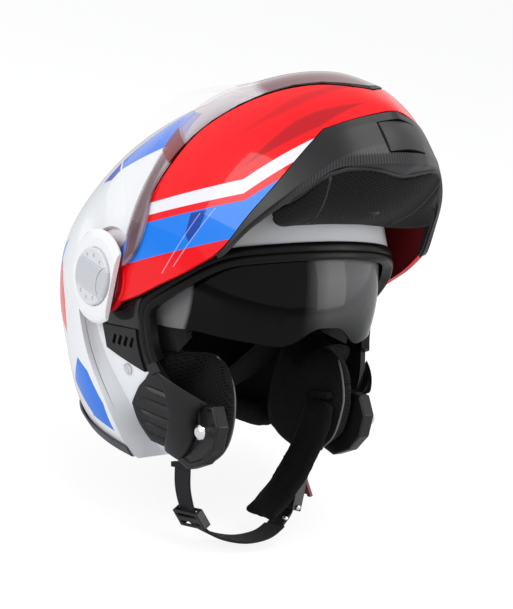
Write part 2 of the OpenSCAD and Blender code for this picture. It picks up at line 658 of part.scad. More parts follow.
module chin_bar_rim() {
  function ring(turn) =
    let (
      c = lookup(station(turn), depth_share) * lookup(station(turn), lip_share),
      b = lookup(station(turn), lip_share) * lip_h,
      d = lookup(station(turn), depth_share) * rim_depth,
      p = abs(turn) <= turn_at(pocket_half) + 0.01 ? pocket_t : 0,
      pocket_to = pocket_from + button_h + 7,
      from = min(pocket_from, 0.3 * b),
      to = min(pocket_to, 0.8 * b),
      n = nose(turn, 1) * max(0, 1 - abs(turn) / 12),
      edge = 0.5 + 1.1 * ease((station(turn) - 48) / 14)
    )
    [for (s = [[0.7, 0], [from, 0], [from + 0.2, -p], [to, -p], [to + 0.2, 0], [b, -1.2], [b + 1.5, -4],
      [b + 6 * c, -0.5 * d - 2], [b + 22 * c, -d + 0.4], [b + 19 * c, -d - edge], [-3, -d],
      [-3, -chin_wall - 0.5], [0.7, -chin_wall - 0.5]])
      down_from(turn, s[0], s[1] + (s[1] > -chin_wall ? n * (1 - s[0] / lip_h) : 0))];
  color([0.12, 0.12, 0.12]) raise() loft([for (k = [len(rim_turns) - 1:-1:0]) ring(rim_turns[k])]);
}

// Foam and padded liner behind the painted shell.
pad_turns = [-33, -28, -22, -16, -10, -5, 0, 5, 10, 16, 22, 28, 33];
foam_deep = 22;
module chin_lining(shallow, deep, swell) {
  steps = 6;
  function top(turn) = lookup(station(turn), chin_top) - 2;
  function low(turn) = lookup(station(turn), chin_low) + 2.2;
  function row(turn, off, crown) = [
    for (k = [0:steps])
      let (
        edge = sin(180 * k / steps) * ease((34 - abs(turn)) / 14),
        limit = lookup(station(turn), depth_share) * rim_depth - 2
      )
      front_point(turn, top(turn) + (low(turn) - top(turn)) * k / steps, chin_half_w,
        max(-limit, off) - crown * edge)
  ];
  raise() slab([for (t = pad_turns) row(t, -shallow, 0)], [for (t = pad_turns) row(t, -deep, swell)]);
}
module chin_foam() { color("dimgray") chin_lining(chin_wall + 0.5, foam_deep, 0); }
module chin_liner() { color("black") chin_lining(foam_deep + 0.5, 33, 5); }

module arm_hub(side) {
  color("firebrick") raise() on_axis(side, plate_x) difference() {
    union() {
      cylinder(r = hub_r, h = chin_wall - 1, $fn = 96);
      translate([0, 0, chin_wall - 1]) cylinder(r1 = hub_r, r2 = hub_r - 2.5, h = 1, $fn = 96);
    }
    translate([0, 0, -1]) cylinder(r = shaft_r + run_fit, h = chin_wall + 2);
  }
}
module arm_hub_right() { arm_hub(-1); }
module arm_hub_left() { arm_hub(1); }

// Forked plate that closes round the neck of the latch pin, carried by the chin bar.
jaw_t = 2.6;
module latch_jaw_left() {
  slot = pin_r + 0.5;
  reach = norm([pin_y, pin_z]);
  bridge = pin_head_r + 1.4;
  foot = latch_x + 1.2;
  pin_angle = atan2(-pin_z, pin_y);
  wall_share = (reach + bridge + 5) / (chin_r_at(pin_angle) - chin_wall);
  wall_x = (chin_half_w - chin_wall) * arch(wall_share, chin_squareness(pin_angle));
  color("gray") raise() rotate([-pin_angle, 0, 0]) translate([0, -reach, 0]) on_axis(1, foot) {
    linear_extrude(jaw_t) difference() {
      translate([-8, -bridge - 5]) square([15, bridge + 13]);
      circle(r = slot);
      translate([0, -slot]) square([12, 2 * slot]);
    }
    translate([-8, -bridge - 5, jaw_t - 0.01]) cube([15, 5, wall_x - 1.2 - foot - jaw_t]);
  }
}
module latch_jaw_right() { mirror([1, 0, 0]) latch_jaw_left(); }

// Push button in the pocket of the lip.
button_turns = [for (x = [-1:0.25:1]) sign(x) * turn_at(abs(x) * button_w / 2)];
module release_button() {
  steps = 5;
  rise = 1;
  function row(turn, off, crown) = [
    for (k = [0:steps])
      let (t = pocket_from + 0.8 + button_h * k / steps, round = sin(180 * k / steps))
      down_from(turn, t, off + crown * (0.4 + round) * cos(turn * 6))
  ];
  color([0.16, 0.16, 0.16]) raise()
    slab([for (t = button_turns) row(t, 0, rise)], [for (t = button_turns) row(t, -button_t, 0)]);
}

// Black strip along the chin bar's upper edge, under the visor.
gasket_turns = [-66, -60, -54, -48, -42, -35, -28, -21, -14, -7, 0, 7, 14, 21, 28, 35, 42, 48, 54, 60, 66];
function seam_at(st) = lookup(st, chin_top);
function seam_width(st) = seam_gap * (1 + 0.9 * ease((st - 50) / 40));
module visor_gasket() {
  function row(turn, off) = let (st = station(turn)) [
    for (k = [0:1]) front_point(turn, seam_at(st) + 0.38 + k * (seam_width(st) - 0.66), chin_half_w, off)
  ];
  color("black") raise() slab([for (t = gasket_turns) [for (k = [1, 0]) row(t, 0.4)[k]]],
    [for (t = gasket_turns) [for (k = [1, 0]) row(t, -chin_wall)[k]]]);
}

// Clear visor, narrow at its plates and wide in front of the eyes.
visor_low_arm = [[6, -60], [11, -48], [18, -30], [24, -17.5]];
visor_top = [[6, -16], [11, -16], [18, -9], [24, 7], [32, 20], [42, 26.5], [52, 29], [69, 31], [90, 31.5]];
function visor_low(st) = st < 24 ? lookup(st, visor_low_arm) : seam_at(st) + seam_width(st);
visor_end = 81.4;
visor_hub_r = 25.2;
visor_turns = [
  -visor_end, -79.5, -77.5, -74.5, -70.5, -66, -60, -54, -48, -42, -35, -28, -21, -14, -7, 0,
  7, 14, 21, 28, 35, 42, 48, 54, 60, 66, 70.5, 74.5, 77.5, 79.5, visor_end
];
// The visor stands clear of the chin bar's plates and comes down flush with it at the seam.
function visor_off(st) = fit + (side_fit + visor_t - fit) * (1 - ease((st - 22) / 30));
module visor() {
  steps = 7;
  function row(turn, depth) = [
    for (k = [steps:-1:0])
      let (
        st = station(turn),
        low = visor_low(st),
        a = low + (lookup(st, visor_top) - low) * k / steps,
        off = visor_off(st) - depth
      )
      abs(turn) == visor_end ? at_angle(sign(turn), chin_half_w + off, visor_hub_r + fit, a)
        : front_point(turn, a, chin_half_w, off)
  ];
  color([0.8, 0.8, 0.82, 0.5]) raise()
    slab([for (t = visor_turns) row(t, 0)], [for (t = visor_turns) row(t, visor_t)]);
}
module visor_hub(side) {
  color("gray") raise() on_axis(side, visor_x) difference() {
    cylinder(r = visor_hub_r, h = visor_t, $fn = 96);
    translate([0, 0, -1]) cylinder(r = visor_shaft_r + run_fit, h = visor_t + 2);
  }
}
module visor_hub_right() { visor_hub(-1); }
module visor_hub_left() { visor_hub(1); }

// Sun visor with its nose cut-out, turning about posts inside the shell.
sun_squareness = 2.2;
sun_post_r = 4;
sun_hub_r = 14;
sun_low = [[4, -18], [18, -30.5], [31, -13], [40, -9.4], [55, -6.6], [68, -5.8], [90, -5.8]];
sun_top = [[4, 14], [12, 22], [30, 34], [50, 39], [90, 40]];
sun_end = 86;
sun_turns = [
  -sun_end, -82, -77, -71, -64, -57, -50, -43, -36, -30, -24, -19, -14, -10, -6, -3, 0,
  3, 6, 10, 14, 19, 24, 30, 36, 43, 50, 57, 64, 71, 77, 82, sun_end
];
function sun_point(turn, a, off) =
  let (st = station(turn), e = 2 / sun_squareness)
  at_angle(turn < 0 ? -1 : 1, (sun_half_w + off) * pow(cos(st), e), (sun_r + off) * pow(sin(st), e), a);
module sun_visor() {
  steps = 5;
  function row(turn, off) = [
    for (k = [steps:-1:0])
      let (
        st = station(turn),
        low = lookup(st, sun_low) + nose_cut * ease((st - 72) / 14),
        a = low + (lookup(st, sun_top) - low) * k / steps
      )
      abs(turn) == sun_end ? at_angle(sign(turn), sun_half_w + off, sun_hub_r + fit, a)
        : sun_point(turn, a, off)
  ];
  color([0.3, 0.3, 0.32, 0.8])
    slab([for (t = sun_turns) row(t, 0)], [for (t = sun_turns) row(t, -sun_t)]);
}
module sun_hub(side) {
  color("dimgray") on_axis(side, sun_half_w - sun_t) difference() {
    cylinder(r = sun_hub_r, h = sun_t);
    translate([0, 0, -1]) cylinder(r = sun_post_r + run_fit, h = sun_t + 2);
  }
}
module sun_hub_right() { sun_hub(-1); }
module sun_hub_left() { sun_hub(1); }
module sun_post(side) {
  foot = sun_half_w - sun_t - 0.8;
  color("silver") {
    on_axis(side, foot) cylinder(r = sun_post_r, h = recess_half_w - shell_wall - 0.4 - foot);
    on_axis(side, foot - 0.4) cylinder(r = sun_post_r + 2, h = 0.8);
  }
}
module sun_post_right() { sun_post(-1); }
module sun_post_left() { sun_post(1); }

// Lever for the sun visor on the left of the lower band.
slider_bearing = 100;
slider_lean = 27;
slider_travel = 14;
knob_l = 11;
knob_h = 7;
slide_half = (knob_l + slider_travel) / 2;
module on_band() {
  translate(level_point(slider_bearing, -rim_z + band_h / 2, -4.4)) rotate([0, 0, slider_bearing - 90])
    rotate([0, slider_lean, 0]) children();
}
module slider_track() {
  color([0.15, 0.15, 0.15]) on_band() difference() {
    translate([0, -slide_half - 3.5, -4.6]) cube([1.8, 2 * slide_half + 7, 9.2]);
    translate([0.9, -slide_half - 1.5, -1]) cube([2, 2 * slide_half + 3, 2]);
  }
}
module sun_slider() {
  color([0.3, 0.3, 0.3]) on_band() translate([3.7, -slide_half - 0.5, 0]) hull()
    for (y = [1.5, knob_l - 1.5])
      translate([0, y, -knob_h / 2]) cylinder(r = 1.5, h = knob_h, $fn = 24);
}

// The strap hangs down in the photograph, where the helmet leans forward.
hang_lean = 20;
module hang() { rotate([-hang_lean, 0, 0]) children(); }
across = [0.12, 1, 0.1];
module ribbon(path, w, t) {
  n = len(path);
  bevel = min(0.3 * t, 1.5);
  half = [[-w / 2 + bevel, t / 2], [w / 2 - bevel, t / 2], [w / 2, t / 2 - bevel], [w / 2, bevel - t / 2],
    [w / 2 - bevel, -t / 2], [bevel - w / 2, -t / 2], [-w / 2, bevel - t / 2], [-w / 2, t / 2 - bevel]];
  function ring(i) =
    let (
      along = unit(path[min(i + 1, n - 1)] - path[max(i - 1, 0)]),
      face = unit(cross(along, across)),
      side = cross(face, along)
    )
    [for (s = half) path[i] + side * s[0] + face * s[1]];
  loft([for (i = [0:n - 1]) ring(i)]);
}
function curve(keys, k) = let (n = len(keys) - 1) [for (t = [0:k * n]) along(keys, t / k)];
web_keys = [
  [-62, -22, -142], [-62.5, -23, -158], [-59, -27, -176], [-46, -30, -190], [-20, -32, -198], [3, -33, -197],
  [17, -32, -191]
];
sleeve_keys = [[41.4, -55, -94], [40, -48, -120], [31, -40, -147], [15, -36, -168], [-1, -34, -181]];
module strap_web() { color([0.08, 0.08, 0.08]) hang() ribbon(curve(web_keys, 4), web_w, web_t); }
module strap_sleeve() { color([0.06, 0.06, 0.06]) hang() ribbon(curve(sleeve_keys, 3), sleeve_w, sleeve_t); }

// Three-bar slider round the webbing.
slider_at = [-58, -27.4, -178];
module strap_slider() {
  wide = web_w + 8;
  tall = 15;
  color([0.1, 0.1, 0.1]) hang() translate(slider_at) rotate([0, -33, 0]) difference() {
    cube([7, wide, tall], center = true);
    cube([web_t + 1.2, web_w + 1.5, tall + 2], center = true);
    for (z = [-1, 1]) translate([0, 0, z * 3.6]) cube([9, web_w + 1.5, 3], center = true);
  }
}

// Sewn end of the strap under each cheek pad.
module strap_anchor_right() {
  color([0.08, 0.08, 0.08]) hang() translate([-62, -21.5, -139.8]) cube([5, web_w, 3.8], center = true);
}
module strap_anchor_left() {
  color([0.08, 0.08, 0.08]) hang() translate([43.2, -55.2, -91.3]) rotate([0, -8, 0])
    cube([6, web_w, 4], center = true);
}

// Ratchet buckle: a channel with a sprung lever, and the toothed tongue that enters it from below.
buckle_at = [36, -30, -161];
buckle_lean = 16;
buckle_t = 9;
lever_pin_r = 1.5;
lever_hub_z = 9;
module in_buckle() { hang() translate(buckle_at) rotate([0, buckle_lean, 0]) children(); }
module buckle_body() {
  wall = 1.6;
  color([0.13, 0.13, 0.13]) in_buckle() difference() {
    translate([-buckle_t / 2, -buckle_w / 2, -buckle_l / 2]) cube([buckle_t, buckle_w, buckle_l]);
    translate([-buckle_t / 2 + wall, wall - buckle_w / 2, -buckle_l / 2 - 1])
      cube([buckle_t, buckle_w - 2 * wall, buckle_l + 2]);
    translate([0, 0, lever_hub_z]) rotate([90, 0, 0])
      cylinder(r = lever_pin_r + run_fit, h = buckle_w + 2, center = true);
  }
}
lever_open = 38;
module buckle_lever() {
  wide = buckle_w - 5;
  color("red") in_buckle() translate([0, 0, lever_hub_z]) rotate([0, -lever_open, 0]) {
    rotate([90, 0, 0]) cylinder(r = lever_pin_r, h = buckle_w - 0.4, center = true);
    difference() {
      union() {
        rotate([90, 0, 0]) cylinder(r = 2.4, h = wide, center = true);
        translate([0.6, -wide / 2, -21]) cube([2.4, wide, 21]);
      }
      translate([-1, -wide / 2 + 4, -25]) cube([6, wide - 8, 6]);
    }
  }
}
module buckle_rivets() {
  color("silver") in_buckle() {
    for (y = [-1, 1]) translate([-buckle_t / 2 + 1.6, y * 6.5, -buckle_l / 2 + 5]) rotate([0, 90, 0])
      cylinder(r = 2.4, h = 1.2, $fn = 32);
  }
}
function in_buckle_at(x, z) =
  buckle_at + [x * cos(buckle_lean) + z * sin(buckle_lean), 0, z * cos(buckle_lean) - x * sin(buckle_lean)];
tongue_keys = [
  [17.6, -32, -190.6], in_buckle_at(-2, -23.5), in_buckle_at(0, -15), in_buckle_at(-0.5, -5),
  in_buckle_at(-0.5, 4)
];
module buckle_tongue() { color([0.2, 0.2, 0.2]) hang() ribbon(curve(tongue_keys, 3), web_w - 3.5, 1.8); }

outer_shell();
impact_liner();
comfort_liner();
neck_roll();
rim_band();
eyeport_trim();
pivot_hub_right();
pivot_hub_left();
pivot_cover_right();
pivot_cover_left();
pivot_disc_right();
pivot_disc_left();
side_plate_right();
side_plate_left();
cheek_cover_right();
cheek_cover_left();
latch_plate_right();
latch_plate_left();
latch_pin_right();
latch_pin_left();
recess_rivet_right();
recess_rivet_left();
cheek_pad_right();
cheek_pad_left();
chin_bar_shell();
chin_bar_rim();
chin_foam();
chin_liner();
arm_hub_right();
arm_hub_left();
latch_jaw_right();
latch_jaw_left();
release_button();
visor_gasket();
visor();
visor_hub_right();
visor_hub_left();
sun_visor();
sun_hub_right();
sun_hub_left();
sun_post_right();
sun_post_left();
slider_track();
sun_slider();
strap_web();
strap_sleeve();
strap_slider();
strap_anchor_right();
strap_anchor_left();
buckle_body();
buckle_lever();
buckle_rivets();
buckle_tongue();
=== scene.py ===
# Modular motorcycle helmet with its chin bar raised: the looks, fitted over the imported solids.
import bpy
import bmesh
import json
from math import cos, pi, radians, sin
from mathutils import Matrix, Vector

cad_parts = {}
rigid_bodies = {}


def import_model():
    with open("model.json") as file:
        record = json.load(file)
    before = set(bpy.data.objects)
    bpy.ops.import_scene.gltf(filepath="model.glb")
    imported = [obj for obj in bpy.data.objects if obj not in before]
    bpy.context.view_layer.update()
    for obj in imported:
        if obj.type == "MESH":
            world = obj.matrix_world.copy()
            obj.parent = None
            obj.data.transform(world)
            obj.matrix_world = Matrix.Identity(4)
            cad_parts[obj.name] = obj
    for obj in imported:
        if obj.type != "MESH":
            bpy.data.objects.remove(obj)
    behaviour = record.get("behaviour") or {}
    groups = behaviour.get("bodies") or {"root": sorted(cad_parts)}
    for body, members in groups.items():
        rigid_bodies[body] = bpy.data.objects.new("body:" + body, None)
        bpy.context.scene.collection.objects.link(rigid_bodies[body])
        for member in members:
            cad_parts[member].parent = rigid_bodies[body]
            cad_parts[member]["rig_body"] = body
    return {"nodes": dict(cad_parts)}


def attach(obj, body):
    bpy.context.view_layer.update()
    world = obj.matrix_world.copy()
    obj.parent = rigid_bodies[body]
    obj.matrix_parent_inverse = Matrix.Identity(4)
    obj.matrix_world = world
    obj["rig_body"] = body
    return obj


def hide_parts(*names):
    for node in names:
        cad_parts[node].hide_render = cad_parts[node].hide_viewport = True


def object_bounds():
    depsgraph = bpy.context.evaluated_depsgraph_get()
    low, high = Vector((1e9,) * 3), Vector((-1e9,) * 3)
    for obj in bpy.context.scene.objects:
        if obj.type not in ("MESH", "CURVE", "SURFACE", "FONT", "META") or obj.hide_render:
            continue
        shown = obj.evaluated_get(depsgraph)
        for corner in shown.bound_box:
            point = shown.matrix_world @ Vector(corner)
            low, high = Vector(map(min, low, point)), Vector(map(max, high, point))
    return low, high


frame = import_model()
solid_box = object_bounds()
nodes = frame["nodes"]
scene = bpy.context.scene
scene.view_settings.view_transform = "Standard"


# Camera. The helmet hangs leaning forward in the photograph, so the level helmet is seen from
# above its front right corner, with the same lean in the camera's roll.
camera_turn = radians(-38.4)
camera_rise = radians(1.9)
camera_far = 1.25
camera_aside = 0.0195
camera_down = 0.023
helmet_lean = Matrix.Rotation(radians(-20), 3, "X")
back = Vector((sin(camera_turn) * cos(camera_rise), -cos(camera_turn) * cos(camera_rise), sin(camera_rise)))
right = Vector((cos(camera_turn), sin(camera_turn), 0))
up = back.cross(right)
camera_data = bpy.data.cameras.new("camera")
camera_data.lens = 96.06
camera_data.sensor_width = 36
camera_data.clip_start = 0.05
camera = bpy.data.objects.new("camera", camera_data)
scene.collection.objects.link(camera)
turned = helmet_lean @ Matrix((right, up, back)).transposed()
camera.matrix_world = Matrix.Translation(
    helmet_lean @ (back * camera_far + right * camera_aside - up * camera_down)) @ turned.to_4x4()
scene.camera = camera


# Studio. A pale floor under the strap, an even pale room, two large soft lamps at the sides and
# one overhead, so that the lacquer mirrors broad light fields with dark lines between them.
world = bpy.data.worlds.new("studio")
scene.world = world
world.use_nodes = True
room = world.node_tree
room.nodes.clear()
room_out = room.nodes.new("ShaderNodeOutputWorld")
room_light = room.nodes.new("ShaderNodeBackground")
room_light.inputs["Color"].default_value = (0.92, 0.94, 0.97, 1)
room_light.inputs["Strength"].default_value = 0.46
room_seen = room.nodes.new("ShaderNodeBackground")
room_seen.inputs["Color"].default_value = (1, 1, 1, 1)
room_seen.inputs["Strength"].default_value = 1.0
room_path = room.nodes.new("ShaderNodeLightPath")
seen = room_path.outputs["Is Camera Ray"]
for ray in ("Is Glossy Ray", "Is Transmission Ray"):
    either = room.nodes.new("ShaderNodeMath")
    either.operation = "MAXIMUM"
    room.links.new(seen, either.inputs[0])
    room.links.new(room_path.outputs[ray], either.inputs[1])
    seen = either.outputs[0]
room_mix = room.nodes.new("ShaderNodeMixShader")
room.links.new(seen, room_mix.inputs["Fac"])
room.links.new(room_light.outputs[0], room_mix.inputs[1])
room.links.new(room_seen.outputs[0], room_mix.inputs[2])
room.links.new(room_mix.outputs[0], room_out.inputs["Surface"])


def lamp(name, place, aim, width, height, power):
    data = bpy.data.lights.new(name, "AREA")
    data.shape = "RECTANGLE"
    data.size = width
    data.size_y = height
    data.energy = power
    light = bpy.data.objects.new(name, data)
    scene.collection.objects.link(light)
    light.location = place
    light.rotation_euler = (Vector(aim) - Vector(place)).to_track_quat("-Z", "Y").to_euler()


lamp("lamp_left", (-1.7, 0.1, 0.75), (0, 0, 0), 1.3, 0.9, 17)
lamp("lamp_right", (1.2, -1.5, 0.5), (0, 0, 0), 0.9, 1.2, 12)
lamp("lamp_above", (0.0, -0.5, 1.8), (0, 0, 0), 1.1, 0.8, 15)

floor_gap = 0.003
floor_z = solid_box[0][2] - floor_gap
floor_mesh = bpy.data.meshes.new("floor")
floor_form = bmesh.new()
bmesh.ops.create_grid(floor_form, x_segments=1, y_segments=1, size=12)
bmesh.ops.translate(floor_form, verts=floor_form.verts, vec=(0, 0, floor_z))
floor_form.to_mesh(floor_mesh)
floor_form.free()
floor = bpy.data.objects.new("floor", floor_mesh)
scene.collection.objects.link(floor)
floor_paper = bpy.data.materials.new("floor_paper")
floor_paper.use_nodes = True
paper = floor_paper.node_tree
paper.nodes.clear()
paper_out = paper.nodes.new("ShaderNodeOutputMaterial")
paper_path = paper.nodes.new("ShaderNodeLightPath")
paper_base = paper.nodes.new("ShaderNodeBsdfDiffuse")
paper_base.inputs["Color"].default_value = (0.8, 0.8, 0.8, 1)
paper_seen = paper.nodes.new("ShaderNodeBsdfDiffuse")
paper_seen.inputs["Color"].default_value = (0.22, 0.22, 0.22, 1)
paper_glow = paper.nodes.new("ShaderNodeEmission")
paper_glow.inputs["Strength"].default_value = 0.86
paper_add = paper.nodes.new("ShaderNodeAddShader")
paper_mix = paper.nodes.new("ShaderNodeMixShader")
paper.links.new(paper_seen.outputs[0], paper_add.inputs[0])
paper.links.new(paper_glow.outputs[0], paper_add.inputs[1])
paper.links.new(paper_path.outputs["Is Camera Ray"], paper_mix.inputs["Fac"])
paper.links.new(paper_base.outputs[0], paper_mix.inputs[1])
paper.links.new(paper_add.outputs[0], paper_mix.inputs[2])
paper.links.new(paper_mix.outputs[0], paper_out.inputs["Surface"])
floor_mesh.materials.append(floor_paper)


# Outer shell. A moulded shell, 4 mm thick, sprayed white and lacquered, with blue and red
# panels laid under the lacquer. Its skin is a finer copy of the solid with crisp edges.
def finer_copy(node, name, levels, sharp):
    source = nodes[node]
    mesh = source.data.copy()
    mesh.name = name
    mesh.materials.clear()
    for layer in ("custom_normal", "sharp_face"):
        if layer in mesh.attributes:
            mesh.attributes.remove(mesh.attributes[layer])
    form = bmesh.new()
    form.from_mesh(mesh)
    bmesh.ops.remove_doubles(form, verts=form.verts, dist=2e-6)
    bmesh.ops.dissolve_degenerate(form, edges=form.edges, dist=1e-6)
    bmesh.ops.join_triangles(form, faces=form.faces, angle_face_threshold=radians(24),
                             angle_shape_threshold=radians(60))
    crease = form.edges.layers.float.new("crease_edge")
    for edge in form.edges:
        if edge.is_manifold and edge.calc_face_angle() > radians(sharp):
            edge[crease] = 1
            edge.smooth = False
    for face in form.faces:
        face.smooth = True
    form.to_mesh(mesh)
    form.free()
    piece = bpy.data.objects.new(name, mesh)
    scene.collection.objects.link(piece)
    if levels:
        finer = piece.modifiers.new("finer", "SUBSURF")
        finer.levels = levels
        finer.render_levels = levels
    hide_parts(node)
    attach(piece, source["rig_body"])
    return piece


def new_material(name, colour, roughness):
    material = bpy.data.materials.new(name)
    material.use_nodes = True
    tree = material.node_tree
    shader = tree.nodes["Principled BSDF"]
    shader.inputs["Base Color"].default_value = (*colour, 1)
    shader.inputs["Roughness"].default_value = roughness
    return material, tree, shader


def sums(tree, operation, a, b=None, c=None, clamp=False):
    node = tree.nodes.new("ShaderNodeMath")
    node.operation = operation
    node.use_clamp = clamp
    for socket, value in zip(node.inputs, (a, b, c)):
        if value is None:
            continue
        if isinstance(value, (int, float)):
            socket.default_value = value
        else:
            tree.links.new(value, socket)
    return node.outputs[0]


def place_of(tree):
    coordinates = tree.nodes.new("ShaderNodeTexCoord")
    split = tree.nodes.new("ShaderNodeSeparateXYZ")
    tree.links.new(coordinates.outputs["Object"], split.inputs[0])
    return split.outputs["X"], split.outputs["Y"], split.outputs["Z"]


def past_line(tree, u, v, first, second):
    """Signed distance in metres from a line through two corners given in millimetres."""
    a, b = Vector(first), Vector(second)
    across = Vector((a.y - b.y, b.x - a.x)).normalized()
    reach = sums(tree, "MULTIPLY_ADD", v, across.y, -across.dot(a) / 1000)
    return sums(tree, "MULTIPLY_ADD", u, across.x, reach)


def least_of(tree, distances):
    least = distances[0]
    for distance in distances[1:]:
        least = sums(tree, "MINIMUM", least, distance)
    return least


def panel_mask(tree, u, v, corners, soft=0.0003):
    """1 inside a convex outline given in millimetres, 0 outside."""
    middle = Vector((sum(c[0] for c in corners), sum(c[1] for c in corners))) / len(corners)
    distances = []
    for first, second in zip(corners, corners[1:] + corners[:1]):
        a, b = Vector(first), Vector(second)
        if (b - a).cross(middle - a) < 0:
            a, b = b, a
        distances.append(past_line(tree, u, v, a, b))
    return sums(tree, "MULTIPLY_ADD", least_of(tree, distances), 1 / soft, 0.5, clamp=True)


def painted(tree, below, colour, mask):
    mix = tree.nodes.new("ShaderNodeMix")
    mix.data_type = "RGBA"
    tree.links.new(mask, mix.inputs["Factor"])
    if isinstance(below, tuple):
        mix.inputs["A"].default_value = (*below, 1)
    else:
        tree.links.new(below, mix.inputs["A"])
    if isinstance(colour, tuple):
        mix.inputs["B"].default_value = (*colour, 1)
    else:
        tree.links.new(colour, mix.inputs["B"])
    return mix.outputs["Result"]


# Orange peel and uneven gloss that every lacquered piece shares.
lacquer_skin = bpy.data.node_groups.new("lacquer_skin", "ShaderNodeTree")
lacquer_skin.interface.new_socket("Scale", in_out="INPUT", socket_type="NodeSocketFloat")
lacquer_skin.interface.new_socket("Height", in_out="OUTPUT", socket_type="NodeSocketFloat")
lacquer_skin.interface.new_socket("Tone", in_out="OUTPUT", socket_type="NodeSocketFloat")
skin_in = lacquer_skin.nodes.new("NodeGroupInput")
skin_out = lacquer_skin.nodes.new("NodeGroupOutput")
skin_place = lacquer_skin.nodes.new("ShaderNodeTexCoord")
skin_noise = lacquer_skin.nodes.new("ShaderNodeTexNoise")
skin_noise.inputs["Detail"].default_value = 2
lacquer_skin.links.new(skin_place.outputs["Object"], skin_noise.inputs["Vector"])
lacquer_skin.links.new(skin_in.outputs["Scale"], skin_noise.inputs["Scale"])
skin_broad = lacquer_skin.nodes.new("ShaderNodeTexNoise")
skin_broad.inputs["Scale"].default_value = 14
lacquer_skin.links.new(skin_place.outputs["Object"], skin_broad.inputs["Vector"])
lacquer_skin.links.new(skin_noise.outputs["Fac"], skin_out.inputs["Height"])
lacquer_skin.links.new(skin_broad.outputs["Fac"], skin_out.inputs["Tone"])


def lacquered(tree, shader, coat=0.6):
    skin = tree.nodes.new("ShaderNodeGroup")
    skin.node_tree = lacquer_skin
    skin.inputs["Scale"].default_value = 420
    bump = tree.nodes.new("ShaderNodeBump")
    bump.inputs["Strength"].default_value = 0.06
    bump.inputs["Distance"].default_value = 0.0002
    tree.links.new(skin.outputs["Height"], bump.inputs["Height"])
    tree.links.new(bump.outputs["Normal"], shader.inputs["Normal"])
    spread = sums(tree, "MULTIPLY_ADD", skin.outputs["Tone"], 0.12, 0.22)
    tree.links.new(spread, shader.inputs["Roughness"])
    shader.inputs["Specular IOR Level"].default_value = 0.08
    shader.inputs["Coat Weight"].default_value = coat
    shader.inputs["Coat Roughness"].default_value = 0.035


white_tone = (0.82, 0.835, 0.86)
blue_tone = (0.001, 0.17, 0.78)
deep_blue_tone = (0.05, 0.09, 0.55)
red_tone = (0.84, 0.004, 0.009)
shade_tone = (0.40, 0.33, 0.355)
recess_shade_black = (0.010, 0.010, 0.011)
shell_paint, paint, gloss = new_material("shell_lacquer", white_tone, 0.25)
_, py, pz = place_of(paint)
blue_panel = panel_mask(paint, py, pz, [(57.5, 70.5), (26, 120.5), (10, 122.5), (-4.5, 104), (45, 67.5)])
blue_tail = panel_mask(paint, py, pz, [(51, 57), (46, 66), (59, 68.5), (66, 50)])
blade = panel_mask(paint, py, pz, [(13, -69), (-4, -73), (-26, -90), (-34, -109), (0, -108), (21, -91)])
blade_notch = panel_mask(paint, py, pz, [(-8, -107), (2, -112), (30, -96), (24, -90)])
blade = sums(paint, "MULTIPLY", blade, sums(paint, "SUBTRACT", 1.0, blade_notch))
flash = panel_mask(paint, py, pz, [(34, -90), (23, -103), (12, -115), (28, -105)])
rear_wedge = panel_mask(paint, py, pz, [(62, -8), (52, -38), (33, -66), (60, -60), (96, -34)])
rear_blade = panel_mask(paint, py, pz, [(70, 4), (100, -24), (116, -62), (96, -54), (74, -28)])
rear_slash = panel_mask(paint, py, pz, [(40, -84), (60, -72), (104, -74), (84, -92)])
below = painted(paint, white_tone, blue_tone, blue_panel)
below = painted(paint, below, deep_blue_tone, blue_tail)
below = painted(paint, below, blue_tone, blade)
below = painted(paint, below, red_tone, flash)
below = painted(paint, below, red_tone, rear_wedge)
below = painted(paint, below, blue_tone, rear_blade)
below = painted(paint, below, red_tone, rear_slash)
# The sunk seat behind the raised chin bar carries a painted shade, the visor's shade, which stays on it
# when the chin bar is closed, and the side recess under the arm and cheek cover is painted black as shade.
step_line = [(-30, 8), (-20, 38), (-15, 60), (-7, 84), (3, 106), (17, 125), (26, 150)]
in_front = least_of(paint, [past_line(paint, py, pz, *ends) for ends in zip(step_line, step_line[1:])])
in_front = sums(paint, "MULTIPLY_ADD", in_front, 400.0, 0.5, clamp=True)
over_brow = sums(paint, "MULTIPLY_ADD", sums(paint, "MULTIPLY_ADD", py, 1.15, pz), 60.0, 0.5, clamp=True)
shaded = sums(paint, "MULTIPLY", in_front, over_brow)
below = painted(paint, below, shade_tone, shaded)
side_recess = panel_mask(paint, py, pz, [(3, -34), (-9, -52), (-53, -53.5), (-70, -48), (-60, 6), (-30, 4)])
cheek_recess = panel_mask(paint, py, pz,
                          [(-59.8, -44), (-39, -84), (-42, -98), (-47, -113), (-125, -125), (-125, -44)])
recess = sums(paint, "MAXIMUM", side_recess, cheek_recess)
below = painted(paint, below, recess_shade_black, recess)
paint.links.new(below, gloss.inputs["Base Color"])
lacquered(paint, gloss)
shell = finer_copy("outer_shell", "shell_skin", levels=2, sharp=26)
shell.data.materials.append(shell_paint)
bare_shell = new_material("bare_shell", (0.012, 0.012, 0.013), 0.8)[0]
shell.data.materials.append(bare_shell)
shell_middle = Vector((0, 0, -0.01))
facing_in = -0.4
for face in shell.data.polygons:
    if face.normal.dot((face.center - shell_middle).normalized()) < facing_in:
        face.material_index = 1
